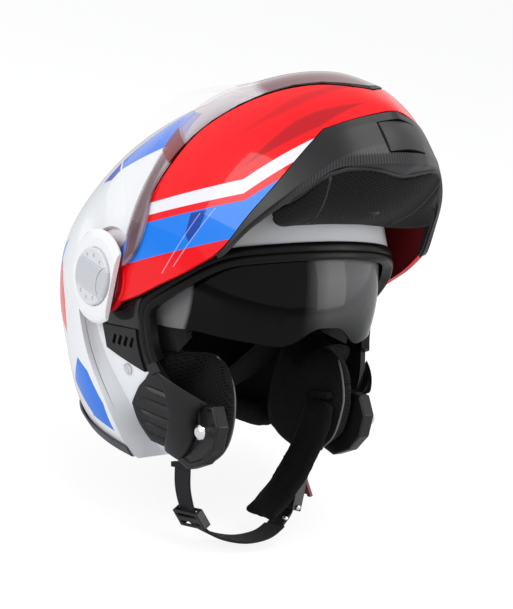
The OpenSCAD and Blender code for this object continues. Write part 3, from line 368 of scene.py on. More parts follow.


# Lower band. A dark grey moulding clipped over the shell's lower rim, in one piece with a dark
# joint line painted beside each cheek, so that it shows in three lengths.
def moulded(name, colour, roughness, grain=900, depth=0.00012, strength=0.35, variation=0.25):
    material, tree, shader = new_material(name, colour, roughness)
    coordinates = tree.nodes.new("ShaderNodeTexCoord")
    speck = tree.nodes.new("ShaderNodeTexNoise")
    speck.inputs["Scale"].default_value = grain
    speck.inputs["Detail"].default_value = 3
    tree.links.new(coordinates.outputs["Object"], speck.inputs["Vector"])
    bump = tree.nodes.new("ShaderNodeBump")
    bump.inputs["Strength"].default_value = strength
    bump.inputs["Distance"].default_value = depth
    tree.links.new(speck.outputs["Fac"], bump.inputs["Height"])
    tree.links.new(bump.outputs["Normal"], shader.inputs["Normal"])
    cloud = tree.nodes.new("ShaderNodeTexNoise")
    cloud.inputs["Scale"].default_value = 35
    tree.links.new(coordinates.outputs["Object"], cloud.inputs["Vector"])
    shader.inputs["Specular IOR Level"].default_value = 0.28
    tone = sums(tree, "MULTIPLY_ADD", cloud.outputs["Fac"], variation, roughness - variation / 2)
    tree.links.new(tone, shader.inputs["Roughness"])
    return material, tree, shader


band_tone = (0.062, 0.058, 0.075)
seam_y = -0.0285
band_plastic, band_tree, band_shader = moulded("band_plastic", band_tone, 0.38)
_, by, _ = place_of(band_tree)
seam = sums(band_tree, "ABSOLUTE", sums(band_tree, "ADD", by, -seam_y))
seam = sums(band_tree, "MULTIPLY_ADD", seam, -2500.0, 1.5, clamp=True)
band_colour = painted(band_tree, band_tone, (0.008, 0.008, 0.01), seam)
band_tree.links.new(band_colour, band_shader.inputs["Base Color"])
band = finer_copy("rim_band", "lower_band", levels=2, sharp=34)
band.data.materials.append(band_plastic)


# Eye opening trim. A black rubber extrusion with two ridges, pushed over the shell's edge all
# round the eye opening.
trim_rubber, _, trim_shader = moulded("trim_rubber", (0.004, 0.004, 0.0045), 0.34, grain=1400, strength=0.2)
trim_shader.inputs["Specular IOR Level"].default_value = 0.15
trim = finer_copy("eyeport_trim", "eye_trim", levels=2, sharp=40)
trim.data.materials.append(trim_rubber)


# Pivots. A white cover and a pale disc over each hinge, screwed on a turned steel hub. The disc
# has a ribbed middle band.
cover_paint, cover_tree, cover_shader = new_material("cover_lacquer", (0.84, 0.845, 0.86), 0.25)
lacquered(cover_tree, cover_shader)
disc_plastic, disc_tree, disc_shader = moulded("disc_plastic", (0.62, 0.63, 0.66), 0.3, strength=0.15)
_, dy, dz = place_of(disc_tree)
middle_band = panel_mask(disc_tree, dy, dz, [(-22, -9.5), (22, -9.5), (22, 9.5), (-22, 9.5)])
disc_line_rate = 5200.0
stripes = sums(disc_tree, "SINE", sums(disc_tree, "MULTIPLY", dz, disc_line_rate))
fine_lines = sums(disc_tree, "MULTIPLY", middle_band, sums(disc_tree, "MULTIPLY_ADD", stripes, 0.3, 0.5))
disc_colour = painted(disc_tree, (0.66, 0.67, 0.70), (0.42, 0.43, 0.47), fine_lines)
disc_tree.links.new(disc_colour, disc_shader.inputs["Base Color"])
polished_steel, _, steel_shader = moulded("polished_steel", (0.74, 0.74, 0.76), 0.16, grain=1800,
                                          strength=0.05, variation=0.08)
steel_shader.inputs["Metallic"].default_value = 1


def dressed(node, material):
    solid = nodes[node]
    solid.data.materials.clear()
    solid.data.materials.append(material)


for side in ("right", "left"):
    dressed("pivot_cover_" + side, cover_paint)
    dressed("pivot_disc_" + side, disc_plastic)
    for node in ("pivot_hub_", "recess_rivet_", "sun_post_"):
        dressed(node + side, polished_steel)


# Side plates and ribbed cheek covers. Black moulded plates on the shell's sunk sides, under the
# arms of the chin bar.
black_plastic = moulded("black_plastic", (0.012, 0.012, 0.013), 0.36, strength=0.3)[0]
for side in ("right", "left"):
    for node in ("side_plate_", "cheek_cover_"):
        plate = finer_copy(node + side, node + side + "_skin", levels=1, sharp=22)
        plate.data.materials.append(black_plastic)


# Latches. A moulded face plate beside each cheek, with a steel mushroom pin for the chin bar's
# jaw. Its edges are rounded by a small bevel.
def edge_rounded(piece, width, segments=2, least_angle=30):
    rounding = piece.modifiers.new("edge", "BEVEL")
    rounding.width = width
    rounding.segments = segments
    rounding.limit_method = "ANGLE"
    rounding.angle_limit = radians(least_angle)


latch_plastic = moulded("latch_plastic", (0.010, 0.010, 0.011), 0.30, strength=0.25)[0]
for side in ("right", "left"):
    plate = finer_copy("latch_plate_" + side, "latch_face_" + side, 0, sharp=25)
    edge_rounded(plate, 0.0006, least_angle=20)
    plate.data.materials.append(latch_plastic)
    dressed("latch_pin_" + side, polished_steel)


# Cheek mouldings. Each carries the black face on from the ribbed cover to the latch plate,
# round the shell's front corner.
def new_piece(name, form, body, node, material):
    mesh = bpy.data.meshes.new(name)
    form.to_mesh(mesh)
    form.free()
    mesh.materials.append(material)
    piece = bpy.data.objects.new(name, mesh)
    scene.collection.objects.link(piece)
    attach(piece, body)
    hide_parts(node)
    return piece


def skin_piece(name, rows, body, node, material, thick):
    """A wall over a grid of points in millimetres, with its length and depth as UV."""
    form = bmesh.new()
    sheet = form.loops.layers.uv.new("cloth")
    grid = [[form.verts.new(Vector(p) / 1000) for p in row] for row in rows]
    along = [0.0]
    for first, second in zip(rows[0], rows[0][1:]):
        along.append(along[-1] + (Vector(second) - Vector(first)).length / 1000)
    for i in range(len(rows) - 1):
        for j in range(len(rows[0]) - 1):
            face = form.faces.new((grid[i][j], grid[i][j + 1], grid[i + 1][j + 1], grid[i + 1][j]))
            face.smooth = True
            for loop, (r, c) in zip(face.loops, ((i, j), (i, j + 1), (i + 1, j + 1), (i + 1, j))):
                down = (Vector(rows[r][c]) - Vector(rows[0][c])).length / 1000
                loop[sheet].uv = (along[c], down)
    bmesh.ops.recalc_face_normals(form, faces=form.faces)
    piece = new_piece(name, form, body, node, material)
    wall = piece.modifiers.new("wall", "SOLIDIFY")
    wall.thickness = thick
    wall.offset = 0
    finer = piece.modifiers.new("finer", "SUBSURF")
    finer.levels = 2
    finer.render_levels = 2


cover_edge = [(102.0, -60, -46.5), (96.2, -76.2, -62), (91.6, -78, -82), (88, -74.5, -98), (79.5, -65, -112)]
latch_edge = [(75.4, -103, -60), (75.2, -86, -66), (75.0, -93, -87), (75.0, -88, -103), (74, -77, -115)]
corner_rows = 6
corner_bulge = 3.5
for side, turn in (("right", -1), ("left", 1)):
    rows = []
    for step in range(corner_rows + 1):
        share = step / corner_rows
        bulge = corner_bulge * sin(pi * share)
        rows.append([(turn * (a[0] + (b[0] - a[0]) * share ** 1.2), a[1] + (b[1] - a[1]) * share - bulge,
                      a[2] + (b[2] - a[2]) * share) for a, b in zip(cover_edge, latch_edge)])
    skin_piece("cheek_corner_" + side, rows, "helmet", "cheek_cover_" + side, black_plastic,
               thick=0.0016)


# Foam liner. Moulded bead foam behind the lining, and a block of it inside the chin bar. Its
# skin shows the pressed beads.
foam_black, foam_tree, foam_shader = new_material("bead_foam", (0.006, 0.006, 0.006), 0.8)
foam_place = foam_tree.nodes.new("ShaderNodeTexCoord")
foam_cells = foam_tree.nodes.new("ShaderNodeTexVoronoi")
foam_cells.inputs["Scale"].default_value = 320
foam_tree.links.new(foam_place.outputs["Object"], foam_cells.inputs["Vector"])
foam_bump = foam_tree.nodes.new("ShaderNodeBump")
foam_bump.inputs["Distance"].default_value = 0.0004
foam_bump.inputs["Strength"].default_value = 0.5
foam_bump.invert = True
foam_tree.links.new(foam_cells.outputs["Distance"], foam_bump.inputs["Height"])
foam_tree.links.new(foam_bump.outputs["Normal"], foam_shader.inputs["Normal"])
for node, name in (("impact_liner", "foam_cap"), ("chin_foam", "chin_foam_block")):
    foam = finer_copy(node, name, levels=1, sharp=40)
    foam.data.materials.append(foam_black)


# Comfort lining. A cloth cap of fine perforated knit, buttoned into the foam. The knit is a node
# group that every cloth here shares.
dotted_cloth = bpy.data.node_groups.new("dotted_cloth", "ShaderNodeTree")
dotted_cloth.interface.new_socket("Vector", in_out="INPUT", socket_type="NodeSocketVector")
dotted_cloth.interface.new_socket("Per metre", in_out="INPUT", socket_type="NodeSocketFloat")
dotted_cloth.interface.new_socket("Hole", in_out="INPUT", socket_type="NodeSocketFloat")
dotted_cloth.interface.new_socket("Holes", in_out="OUTPUT", socket_type="NodeSocketFloat")
dotted_cloth.interface.new_socket("Height", in_out="OUTPUT", socket_type="NodeSocketFloat")
dot_in = dotted_cloth.nodes.new("NodeGroupInput")
dot_out = dotted_cloth.nodes.new("NodeGroupOutput")
dot_turn = dotted_cloth.nodes.new("ShaderNodeVectorRotate")
dot_turn.inputs["Angle"].default_value = radians(45)
dotted_cloth.links.new(dot_in.outputs["Vector"], dot_turn.inputs["Vector"])
dot_cells = dotted_cloth.nodes.new("ShaderNodeTexVoronoi")
dot_cells.voronoi_dimensions = "2D"
dot_cells.inputs["Randomness"].default_value = 0
dotted_cloth.links.new(dot_turn.outputs[0], dot_cells.inputs["Vector"])
dotted_cloth.links.new(dot_in.outputs["Per metre"], dot_cells.inputs["Scale"])
dot_edge = sums(dotted_cloth, "SUBTRACT", dot_in.outputs["Hole"], dot_cells.outputs["Distance"])
dot_mask = sums(dotted_cloth, "MULTIPLY_ADD", dot_edge, 9.0, 0.5, clamp=True)
dot_fuzz = dotted_cloth.nodes.new("ShaderNodeTexNoise")
dot_fuzz.inputs["Scale"].default_value = 1500
dotted_cloth.links.new(dot_in.outputs["Vector"], dot_fuzz.inputs["Vector"])
dot_height = sums(dotted_cloth, "MULTIPLY_ADD", dot_fuzz.outputs["Fac"], 0.25,
                  sums(dotted_cloth, "SUBTRACT", 1.0, dot_mask))
dotted_cloth.links.new(dot_mask, dot_out.inputs["Holes"])
dotted_cloth.links.new(dot_height, dot_out.inputs["Height"])


def cloth_material(name, colour, pitch_mm, hole, axes, sheen=0.05, depth=0.0006):
    """Knit with a grid of holes. axes names the two coordinates that lie in the cloth."""
    material, tree, shader = new_material(name, colour, 0.85)
    x, y, z = place_of(tree)
    named = {"x": x, "y": y, "z": z}
    if axes == "uv":
        laid = tree.nodes.new("ShaderNodeUVMap")
        laid_split = tree.nodes.new("ShaderNodeSeparateXYZ")
        tree.links.new(laid.outputs["UV"], laid_split.inputs[0])
        named["u"] = laid_split.outputs["X"]
        named["v"] = laid_split.outputs["Y"]
    if axes == "round":
        named["r"] = sums(tree, "MULTIPLY", sums(tree, "ARCTAN2", x, y), 0.1)
        axes = "rz"
    plane = tree.nodes.new("ShaderNodeCombineXYZ")
    tree.links.new(named[axes[0]], plane.inputs[0])
    tree.links.new(named[axes[1]], plane.inputs[1])
    dots = tree.nodes.new("ShaderNodeGroup")
    dots.node_tree = dotted_cloth
    tree.links.new(plane.outputs[0], dots.inputs["Vector"])
    dots.inputs["Per metre"].default_value = 1000 / pitch_mm
    dots.inputs["Hole"].default_value = hole
    bump = tree.nodes.new("ShaderNodeBump")
    bump.inputs["Strength"].default_value = 0.8
    bump.inputs["Distance"].default_value = depth
    tree.links.new(dots.outputs["Height"], bump.inputs["Height"])
    tree.links.new(bump.outputs["Normal"], shader.inputs["Normal"])
    dark = tuple(c * 0.15 for c in colour)
    tree.links.new(painted(tree, colour, dark, dots.outputs["Holes"]), shader.inputs["Base Color"])
    shader.inputs["Sheen Weight"].default_value = sheen
    shader.inputs["Sheen Roughness"].default_value = 0.5
    shader.inputs["Specular IOR Level"].default_value = 0.12
    return material


lining_cloth = cloth_material("lining_knit", (0.022, 0.022, 0.023), 3.6, 0.2, "round")
lining = finer_copy("comfort_liner", "comfort_lining", levels=1, sharp=60)
lining.data.materials.append(lining_cloth)


# Cheek pads. Moulded foam in cloth: mesh knit on the front and sides, perforated cloth on the
# inner face, with a thin pale piping between the two. The cloth swells over its foam.
def puffed(piece, voxel, pressure, cap, material, rounds=18):
    graph = bpy.context.evaluated_depsgraph_get()
    remesh = piece.modifiers.new("even", "REMESH")
    remesh.mode = "VOXEL"
    remesh.voxel_size = voxel
    remesh.use_smooth_shade = True
    graph.update()
    even = bpy.data.meshes.new_from_object(piece.evaluated_get(graph))
    piece.modifiers.clear()
    piece.data = even
    start = [v.co.copy() for v in even.vertices]
    cloth = piece.modifiers.new("swell", "CLOTH")
    cloth.settings.use_pressure = True
    cloth.settings.uniform_pressure_force = pressure
    cloth.settings.effector_weights.gravity = 0
    for step in range(1, rounds + 1):
        scene.frame_set(step)
    graph = bpy.context.evaluated_depsgraph_get()
    swollen = bpy.data.meshes.new_from_object(piece.evaluated_get(graph))
    for vertex, begin, end in zip(even.vertices, start, swollen.vertices):
        move = end.co - begin
        if move.length > cap:
            move *= cap / move.length
        vertex.co = begin + move
    piece.modifiers.clear()
    scene.frame_set(1)
    finer = piece.modifiers.new("finer", "SUBSURF")
    finer.levels = 1
    finer.render_levels = 1
    for face in even.polygons:
        face.use_smooth = True
    even.materials.clear()
    even.materials.append(material)


pad_mesh_knit = cloth_material("pad_mesh_knit", (0.009, 0.009, 0.0095), 2.4, 0.34, "yz")
inner_edge = 0.0545
pad_inner_cloth = cloth_material("pad_inner_cloth", (0.010, 0.010, 0.0105), 3.4, 0.18, "yz")
for side, turn in (("right", -1), ("left", 1)):
    pad = finer_copy("cheek_pad_" + side, "cheek_cushion_" + side, levels=0, sharp=80)
    puffed(pad, 0.0035, 3.0, 0.0025, pad_mesh_knit)
    pad.data.materials.append(pad_inner_cloth)
    for face in pad.data.polygons:
        face.material_index = 1 if face.center.x * turn < inner_edge else 0


# Piping. A thin grey cord sewn between the mesh and the inner face of each cheek pad, laid along
# the pad's foremost inner points.
def cord_piece(name, points, radius, body, node, material, sides=8):
    """A closed round cord along points in metres."""
    form = bmesh.new()
    rings = []
    across = None
    for i, point in enumerate(points):
        ahead = (points[min(i + 1, len(points) - 1)] - points[max(i - 1, 0)]).normalized()
        if across is None:
            across = ahead.orthogonal().normalized()
        across = (across - ahead * across.dot(ahead)).normalized()
        third = ahead.cross(across)
        turns = [2 * pi * k / sides for k in range(sides)]
        rings.append([form.verts.new(point + (across * cos(t) + third * sin(t)) * radius) for t in turns])
    for first, second in zip(rings, rings[1:]):
        for k in range(sides):
            face = form.faces.new((first[k], first[(k + 1) % sides], second[(k + 1) % sides], second[k]))
            face.smooth = True
    form.faces.new(rings[0][::-1])
    form.faces.new(rings[-1])
    new_piece(name, form, body, node, material)


def evened(points, rounds):
    for turn in range(rounds):
        middles = [(a + b * 2 + c) / 4 for a, b, c in zip(points, points[1:], points[2:])]
        points = [points[0]] + middles + [points[-1]]
    return points


piping_grey = moulded("piping_grey", (0.16, 0.16, 0.165), 0.5)[0]
piping_top = -0.026
piping_steps = 30
for side, turn in (("right", -1), ("left", 1)):
    cushion = bpy.data.objects["cheek_cushion_" + side]
    lean = Vector((-turn * 0.78, -0.62, 0))
    lows = min(v.co.z for v in cushion.data.vertices)
    line = []
    for step in range(piping_steps):
        height = piping_top + (lows + 0.004 - piping_top) * step / (piping_steps - 1)
        slice_points = [v.co for v in cushion.data.vertices if abs(v.co.z - height) < 0.003]
        if slice_points:
            line.append(max(slice_points, key=lean.dot) + lean * 0.0002)
    cord_piece("cheek_piping_" + side, evened(line, 8), 0.0008, "helmet", "cheek_pad_" + side,
               piping_grey)


# Neck roll. A padded roll round the back of the lower rim, in the lining's knit with a slightly
# closer pitch.
roll_cloth = cloth_material("roll_knit", (0.020, 0.020, 0.021), 3.2, 0.22, "round")
roll = finer_copy("neck_roll", "neck_cushion", levels=0, sharp=80)
puffed(roll, 0.004, 3.0, 0.002, roll_cloth)


# Chin bar. A red lacquered shell with a bent white stripe and a blue band under it, printed under
# the lacquer, and darker red sweeps above, which are painted reflections of the dark gaps between lamps.
chin_paint, chin_tree, chin_gloss = new_material("chin_lacquer", red_tone, 0.25)
_, cy, cz = place_of(chin_tree)


def above_line(tree, first, second):
    """Signed height in metres over a line in the y-z plane, positive upwards."""
    (y1, z1), (y2, z2) = first, second
    rise = (z2 - z1) / (y2 - y1)
    line = sums(tree, "MULTIPLY_ADD", cy, rise, (z1 - rise * y1) / 1000)
    return sums(tree, "SUBTRACT", cz, line)


def step_mask(tree, height):
    return sums(tree, "MULTIPLY_ADD", height, 1 / 0.0003, 0.5, clamp=True)


stripe_top = sums(chin_tree, "MINIMUM", above_line(chin_tree, (-44.7, 75.8), (-94.1, 105.2)),
                  above_line(chin_tree, (-94.1, 105.2), (-114.7, 136.6)))
stripe_low = sums(chin_tree, "MINIMUM", above_line(chin_tree, (-44.3, 65.3), (-99.5, 96.9)),
                  above_line(chin_tree, (-99.5, 96.9), (-119.9, 128.2)))
blue_top = sums(chin_tree, "MINIMUM", above_line(chin_tree, (-42.8, 58.5), (-102.9, 93.3)),
                above_line(chin_tree, (-102.9, 93.3), (-119.8, 116.9)))
blue_low = above_line(chin_tree, (-29, 21.2), (-103.8, 65.6))
white_stripe = sums(chin_tree, "MULTIPLY", step_mask(chin_tree, stripe_low),
                    sums(chin_tree, "SUBTRACT", 1.0, step_mask(chin_tree, stripe_top)))
blue_band = sums(chin_tree, "MULTIPLY", step_mask(chin_tree, blue_low),
                 sums(chin_tree, "SUBTRACT", 1.0, step_mask(chin_tree, blue_top)))
# The painted dark reflections are drawn by distance from the hinge in millimetres and degrees over the
# horizon.
reach_out = sums(chin_tree, "MULTIPLY_ADD", cy, cy, sums(chin_tree, "MULTIPLY", cz, cz))
reach_out = sums(chin_tree, "SQRT", reach_out)
turn_up = sums(chin_tree, "ARCTAN2", cz, sums(chin_tree, "MULTIPLY", cy, -1.0))
turn_up = sums(chin_tree, "MULTIPLY", turn_up, 0.18 / pi)
dark_reflection_outline = [(112, 49.0), (121, 49.3), (140, 51.6), (190, 52.5), (208, 55.0), (190, 56.4), (140, 55.8),
                 (124, 53.0)]
dark_reflection = panel_mask(chin_tree, reach_out, turn_up, dark_reflection_outline, soft=0.0006)
upper_reflection_outline = [(150, 61.5), (178, 60.0), (207, 60.5), (205, 62.0), (178, 62.8)]
upper_dark_reflection = panel_mask(chin_tree, reach_out, turn_up, upper_reflection_outline, soft=0.0012)
dark_reflections = sums(chin_tree, "MAXIMUM", dark_reflection, sums(chin_tree, "MULTIPLY", upper_dark_reflection, 0.6))
reflection_red_tone = (0.50, 0.004, 0.010)
chin_white_tone = (0.80, 0.78, 0.84)
chin_blue_tone = (0.01, 0.20, 0.80)
patch_tone = (0.003, 0.05, 0.36)
outline_tone = (0.60, 0.62, 0.80)
coat = painted(chin_tree, red_tone, reflection_red_tone, dark_reflections)
dark_patch = panel_mask(chin_tree, cy, cz, [(-69.5, 57), (-67.5, 71.5), (-78.9, 78), (-79, 64), (-74.5, 53)])
outlines = sums(chin_tree, "MAXIMUM",
                panel_mask(chin_tree, cy, cz, [(-60.1, 24.9), (-60.9, 24.9), (-75.1, 74.2), (-74.3, 74.2)]),
                panel_mask(chin_tree, cy, cz, [(-68.2, 32.8), (-69, 32.8), (-85, 81.2), (-84.2, 81.2)]))
coat = painted(chin_tree, coat, chin_white_tone, white_stripe)
coat = painted(chin_tree, coat, chin_blue_tone, blue_band)
coat = painted(chin_tree, coat, patch_tone, sums(chin_tree, "MULTIPLY", dark_patch, blue_band))
coat = painted(chin_tree, coat, outline_tone, sums(chin_tree, "MULTIPLY", outlines, 0.45))
chin_tree.links.new(coat, chin_gloss.inputs["Base Color"])
lacquered(chin_tree, chin_gloss, coat=0.4)
chin_skin = finer_copy("chin_bar_shell", "chin_skin", levels=2, sharp=26)
chin_skin.data.materials.append(chin_paint)
inside_red = moulded("inside_red", (0.20, 0.002, 0.006), 0.35, strength=0.1)[0]
chin_skin.data.materials.append(inside_red)
for face in chin_skin.data.polygons:
    x, y, z = face.center
    outward = Vector((x, (y - 0.01) * 0.6, (z - 0.02) * 0.6)).normalized()
    if face.normal.dot(outward) < facing_in:
        face.material_index = 1
hub_paint, hub_tree, hub_shader = new_material("hub_lacquer", red_tone, 0.25)
lacquered(hub_tree, hub_shader)
for side in ("right", "left"):
    dressed("arm_hub_" + side, hub_paint)


# Chin bar's lip. Black moulding that frames the lining, smooth outside, finely ribbed inside. The
# ribs run round the upright axis and stop at the lip's ridge.
lip_tone = (0.008, 0.008, 0.009)
lip_plastic, lip_tree, lip_shader = moulded("lip_plastic", lip_tone, 0.36, strength=0.3)
lx, ly, lz = place_of(lip_tree)
ahead = sums(lip_tree, "MULTIPLY", ly, -1.0)
rib_rate = 520.0
ribs = sums(lip_tree, "SINE", sums(lip_tree, "MULTIPLY", sums(lip_tree, "ARCTAN2", lx, ahead), rib_rate))
lip_turn = sums(lip_tree, "MULTIPLY", sums(lip_tree, "ARCTAN2", lz, ahead), 180 / pi)
ridge_end_x = 0.089
ridge_power = 3.6
ridge_fall = 12.6
ridge_middle = 45.4
aside = sums(lip_tree, "DIVIDE", sums(lip_tree, "ABSOLUTE", lx), ridge_end_x)
ridge_turn = sums(lip_tree, "POWER", aside, ridge_power)
ridge_turn = sums(lip_tree, "MULTIPLY_ADD", ridge_turn, -ridge_fall, ridge_middle)
inner_lip = sums(lip_tree, "MULTIPLY", sums(lip_tree, "SUBTRACT", ridge_turn, lip_turn), 3.0, clamp=True)
lip_colour = painted(lip_tree, lip_tone, (0.040, 0.040, 0.042),
                     sums(lip_tree, "MULTIPLY", inner_lip, sums(lip_tree, "MULTIPLY_ADD", ribs, 0.5, 0.5)))
lip_tree.links.new(lip_colour, lip_shader.inputs["Base Color"])
lip = finer_copy("chin_bar_rim", "chin_lip", levels=2, sharp=28)
lip.data.materials.append(lip_plastic)


# Release button. A moulded push button that slides in its pocket in the middle of the lip and
# frees both latch jaws.
button_plastic = moulded("button_plastic", (0.030, 0.030, 0.031), 0.42)[0]
button = finer_copy("release_button", "release_key", levels=1, sharp=40)
button.data.materials.append(button_plastic)


# Chin lining, jaws and gasket. A padded cushion over the chin foam, a perforated cloth curtain
# from the lip to its own free edge with its piping and two seams, the steel jaws that grip the
# latch pins, and the rubber gasket under the visor.
chin_cloth = cloth_material("chin_knit", (0.020, 0.020, 0.021), 4.2, 0.16, "xz")
chin_lining = finer_copy("chin_liner", "chin_cushion", levels=0, sharp=80)
puffed(chin_lining, 0.004, 2.0, 0.002, chin_cloth)
curtain_half = [
    (0, -154.5, 128.0), (10, -155.3, 131.0), (19, -155.3, 133.0), (32, -151.7, 133.6), (42, -145.2, 130.6),
    (51, -140.0, 125.1), (58, -136.0, 117.5), (60.5, -128.6, 106.0), (68, -123.5, 98.0), (77, -118.0, 92.5)
]
curtain_low = [
    (0, -108.0, 80.5), (7, -108.0, 80.5), (14, -107.8, 80.2), (21, -107.2, 79.8), (28, -106.2, 79.0),
    (35, -104.6, 78.2), (42, -102.4, 77.2), (48, -100.0, 76.2), (56, -103.0, 78.0), (69, -112.0, 86.5)
]
outer_line = [(-x, y, z) for x, y, z in curtain_half[:0:-1]] + curtain_half
inner_line = [(-x, y, z) for x, y, z in curtain_low[:0:-1]] + curtain_low
rows = []
curtain_rows = 8
edge_lift = 1.0
middle_lift = 7.5
lift_y = -0.76
lift_z = -0.65
for step in range(curtain_rows + 1):
    share = step / curtain_rows
    lift = edge_lift + middle_lift * sin(pi * share)
    rows.append([(a[0] + (b[0] - a[0]) * share, a[1] + (b[1] - a[1]) * share + lift_y * lift,
                  a[2] + (b[2] - a[2]) * share + lift_z * lift) for a, b in zip(outer_line, inner_line)])
curtain_knit = cloth_material("curtain_knit", (0.008, 0.008, 0.0085), 3.0, 0.26, "uv")
skin_piece("chin_curtain", rows, "chin_bar", "chin_liner", curtain_knit, thick=0.003)
black_cord = moulded("black_cord", (0.02, 0.02, 0.021), 0.45)[0]
piping_line = evened([Vector(p) / 1000 for p in outer_line[1:-1]], 1)
cord_piece("curtain_piping", piping_line, 0.0016, "chin_bar", "chin_liner", black_cord)
seam_column = 4
seam_lift = 0.8
for side, turn in (("right", -1), ("left", 1)):
    seam_line = []
    for row in rows[:-1]:
        x, y, z = row[seam_column]
        seam_line.append(Vector((turn * abs(x), y - seam_lift, z - seam_lift)) / 1000)
    cord_piece("curtain_seam_" + side, evened(seam_line, 1), 0.0011, "chin_bar", "chin_liner",
               black_cord)
jaw_steel, _, jaw_shader = moulded("jaw_steel", (0.16, 0.16, 0.165), 0.35, variation=0.1)
jaw_shader.inputs["Metallic"].default_value = 1
for side in ("right", "left"):
    dressed("latch_jaw_" + side, jaw_steel)
dressed("visor_gasket", trim_rubber)


# Clear visor. Injection moulded polycarbonate, 2.5 mm thick, hard coated, on two dark red hubs.
# Its front strip and brow carry painted shade and reflections of the room and the red chin bar; the rest is
# almost unseen.
visor_clear, visor_tree, visor_shader = new_material("visor_clear", (0.62, 0.60, 0.61), 0.04)
visor_facing = visor_tree.nodes.new("ShaderNodeLayerWeight")
visor_facing.inputs["Blend"].default_value = 0.35
_, vy, vz = place_of(visor_tree)
# The strip is painted in the lilac shade under the raised visor, with a painted dark reflection low down and
# a painted reflection of the red chin bar.
strip_low = past_line(visor_tree, vy, vz, (-26, 10), (-17, 42))
strip_side = past_line(visor_tree, vy, vz, (-17, 42), (-12.5, 85))
strip_crown = past_line(visor_tree, vy, vz, (-12.5, 85), (-3, 112))
strip_top = past_line(visor_tree, vy, vz, (4, 135), (6, 170))
strip = least_of(visor_tree, [strip_low, strip_top, sums(visor_tree, "MAXIMUM", strip_side, strip_crown)])
strip = sums(visor_tree, "MULTIPLY_ADD", strip, 1500.0, 0.5, clamp=True)
dark_outline = [(-24, 18), (-17, 45), (-13, 80), (-11, 98), (-21, 101), (-29, 60), (-33, 30)]
mirrored_dark = panel_mask(visor_tree, vy, vz, dark_outline, soft=0.004)
painted_shade_and_reflections = painted(visor_tree, (0.56, 0.47, 0.51), (0.16, 0.085, 0.10), mirrored_dark)
mirrored_red = panel_mask(visor_tree, vy, vz, [(-6, 99), (-30, 94), (-30, 110), (0, 115)], soft=0.0008)
painted_shade_and_reflections = painted(visor_tree, painted_shade_and_reflections, (0.22, 0.012, 0.018), mirrored_red)
# The brow is painted in a dark red shade.
brow = sums(visor_tree, "MULTIPLY", sums(visor_tree, "MULTIPLY_ADD", vz, 220.0, -34.0, clamp=True),
            sums(visor_tree, "MULTIPLY_ADD", vy, -150.0, -1.0, clamp=True))
painted_shade_and_reflections = painted(visor_tree, painted_shade_and_reflections, (0.15, 0.034, 0.045), brow)
mirrored = sums(visor_tree, "MULTIPLY", mirrored_red, 0.4)
mirrored = sums(visor_tree, "MULTIPLY_ADD", mirrored_dark, 0.3, mirrored)
visor_tree.links.new(painted_shade_and_reflections, visor_shader.inputs["Base Color"])
edge_on = sums(visor_tree, "MULTIPLY", sums(visor_tree, "POWER", visor_facing.outputs["Facing"], 3.0), 0.05)
visor_body = sums(visor_tree, "MULTIPLY", strip, sums(visor_tree, "ADD", mirrored, 0.44))
brow_body = sums(visor_tree, "MULTIPLY_ADD", brow, 0.52, edge_on)
visor_body = sums(visor_tree, "ADD", visor_body, brow_body, clamp=True)
visor_body = sums(visor_tree, "ADD", visor_body, 0.015, clamp=True)
visor_tree.links.new(visor_body, visor_shader.inputs["Alpha"])
visor_shader.inputs["Coat Weight"].default_value = 0.1
visor_shader.inputs["Coat Roughness"].default_value = 0.02
hub_dark_red = moulded("hub_dark_red", (0.16, 0.006, 0.010), 0.3)[0]
visor = finer_copy("visor", "visor_lens", levels=2, sharp=40)
visor.data.materials.append(visor_clear)
for side in ("right", "left"):
    dressed("visor_hub_" + side, hub_dark_red)


# Sun visor. A smoke grey lens on two hubs inside the shell. It carries a painted reflection of a
# bright field at its near end and a broad soft one on its far half.
smoke, smoke_tree, smoke_shader = new_material("sun_smoke", (0.006, 0.006, 0.007), 0.06)
sx, _, sz = place_of(smoke_tree)
# Painted reflections: a bright field at the near end and a soft broad field on the far half.
near_reflection = sums(smoke_tree, "MULTIPLY_ADD", sx, -700.0, -59.6, clamp=True)
far_reflection = sums(smoke_tree, "MULTIPLY", sums(smoke_tree, "MULTIPLY_ADD", sx, 50.0, 1.2, clamp=True),
                 sums(smoke_tree, "MULTIPLY_ADD", sz, 22.0, 0.15, clamp=True))
painted_reflections = sums(smoke_tree, "MULTIPLY_ADD", near_reflection, 0.55, sums(smoke_tree, "MULTIPLY", far_reflection, 0.5))
smoke_and_reflections = painted(smoke_tree, (0.002, 0.002, 0.002), (0.34, 0.34, 0.345), painted_reflections)
smoke_tree.links.new(smoke_and_reflections, smoke_shader.inputs["Base Color"])
smoke_shader.inputs["Alpha"].default_value = 0.93
smoke_shader.inputs["Specular IOR Level"].default_value = 0.12
sun_visor = finer_copy("sun_visor", "sun_lens", levels=2, sharp=40)
sun_visor.data.materials.append(smoke)
for side in ("right", "left"):
    dressed("sun_hub_" + side, black_plastic)


# Sun visor's lever. A small key that slides in a track on the lower band, on the left, and swings
# the sun visor.
for node in ("slider_track", "sun_slider"):
    key = finer_copy(node, node + "_skin", levels=0, sharp=30)
    edge_rounded(key, 0.0004)
    key.data.materials.append(button_plastic if node == "sun_slider" else latch_plastic)


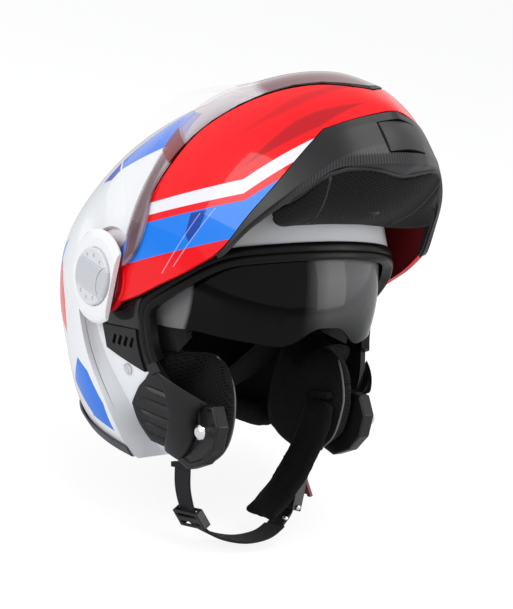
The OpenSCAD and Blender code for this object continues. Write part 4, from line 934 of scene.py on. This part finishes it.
# Chin strap. Woven webbing on the right with its slider, a padded sleeve on the left, both sewn
# to hangers under the shell.
web, web_tree, web_shader = new_material("strap_web", (0.006, 0.006, 0.007), 0.6)
wx, wy, wz = place_of(web_tree)
web_ridge_rate = 5600.0
web_pick_rate = 4200.0
ridges = sums(web_tree, "SINE", sums(web_tree, "MULTIPLY", wy, web_ridge_rate))
picks = sums(web_tree, "MULTIPLY_ADD", wz, web_pick_rate, sums(web_tree, "MULTIPLY", wx, web_pick_rate))
picks = sums(web_tree, "SINE", picks)
weave = sums(web_tree, "MULTIPLY", ridges, picks)
web_bump = web_tree.nodes.new("ShaderNodeBump")
web_bump.inputs["Strength"].default_value = 0.6
web_bump.inputs["Distance"].default_value = 0.0003
web_tree.links.new(weave, web_bump.inputs["Height"])
web_tree.links.new(web_bump.outputs["Normal"], web_shader.inputs["Normal"])
web_tree.links.new(painted(web_tree, (0.005, 0.005, 0.006), (0.014, 0.014, 0.016),
                           sums(web_tree, "MULTIPLY_ADD", weave, 0.5, 0.5)), web_shader.inputs["Base Color"])
web_shader.inputs["Specular IOR Level"].default_value = 0.2
sleeve_cloth = cloth_material("sleeve_cloth", (0.0035, 0.0035, 0.004), 1.4, 0.2, "yz", sheen=0.03,
                              depth=0.0002)
for node, name, levels, material in (("strap_web", "chin_strap", 2, web),
                                     ("strap_anchor_right", "strap_end_right", 1, web),
                                     ("strap_anchor_left", "strap_end_left", 1, sleeve_cloth)):
    strap = finer_copy(node, name, levels, sharp=34)
    strap.data.materials.append(material)
sleeve = finer_copy("strap_sleeve", "strap_cushion", levels=0, sharp=80)
puffed(sleeve, 0.003, 3.0, 0.0016, sleeve_cloth)
slide = finer_copy("strap_slider", "strap_buckle", levels=0, sharp=30)
edge_rounded(slide, 0.0008, segments=3)
slide.data.materials.append(latch_plastic)


# Ratchet buckle. A folded steel channel painted black, a dark red lever, rivets and a toothed
# tongue. Two rivet heads show beside the sleeve.
buckle_paint = moulded("buckle_paint", (0.009, 0.005, 0.009), 0.28, strength=0.1)[0]
lever_red = moulded("lever_red", (0.20, 0.030, 0.036), 0.28, strength=0.1)[0]
for node, name, slot_name, material in (("buckle_body", "buckle_case", "buckle_metal", buckle_paint),
                                        ("buckle_lever", "buckle_pull", "red_lever", lever_red)):
    part = finer_copy(node, name, levels=0, sharp=30)
    edge_rounded(part, 0.0005)
    part.data.materials.append(material)
dressed("buckle_rivets", polished_steel)
rivet_body = nodes["buckle_rivets"]["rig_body"]
for name, place in (("rivet_head_upper", (31.6, -100.6, -152.5)),
                    ("rivet_head_lower", (22.8, -99.5, -161.5))):
    form = bmesh.new()
    bmesh.ops.create_uvsphere(form, u_segments=24, v_segments=14, radius=0.0022)
    bmesh.ops.translate(form, verts=form.verts, vec=Vector(place) / 1000)
    for face in form.faces:
        face.smooth = True
    new_piece(name, form, rivet_body, "buckle_rivets", polished_steel)
tongue = finer_copy("buckle_tongue", "ratchet_tongue", levels=1, sharp=34)
tongue.data.materials.append(latch_plastic)
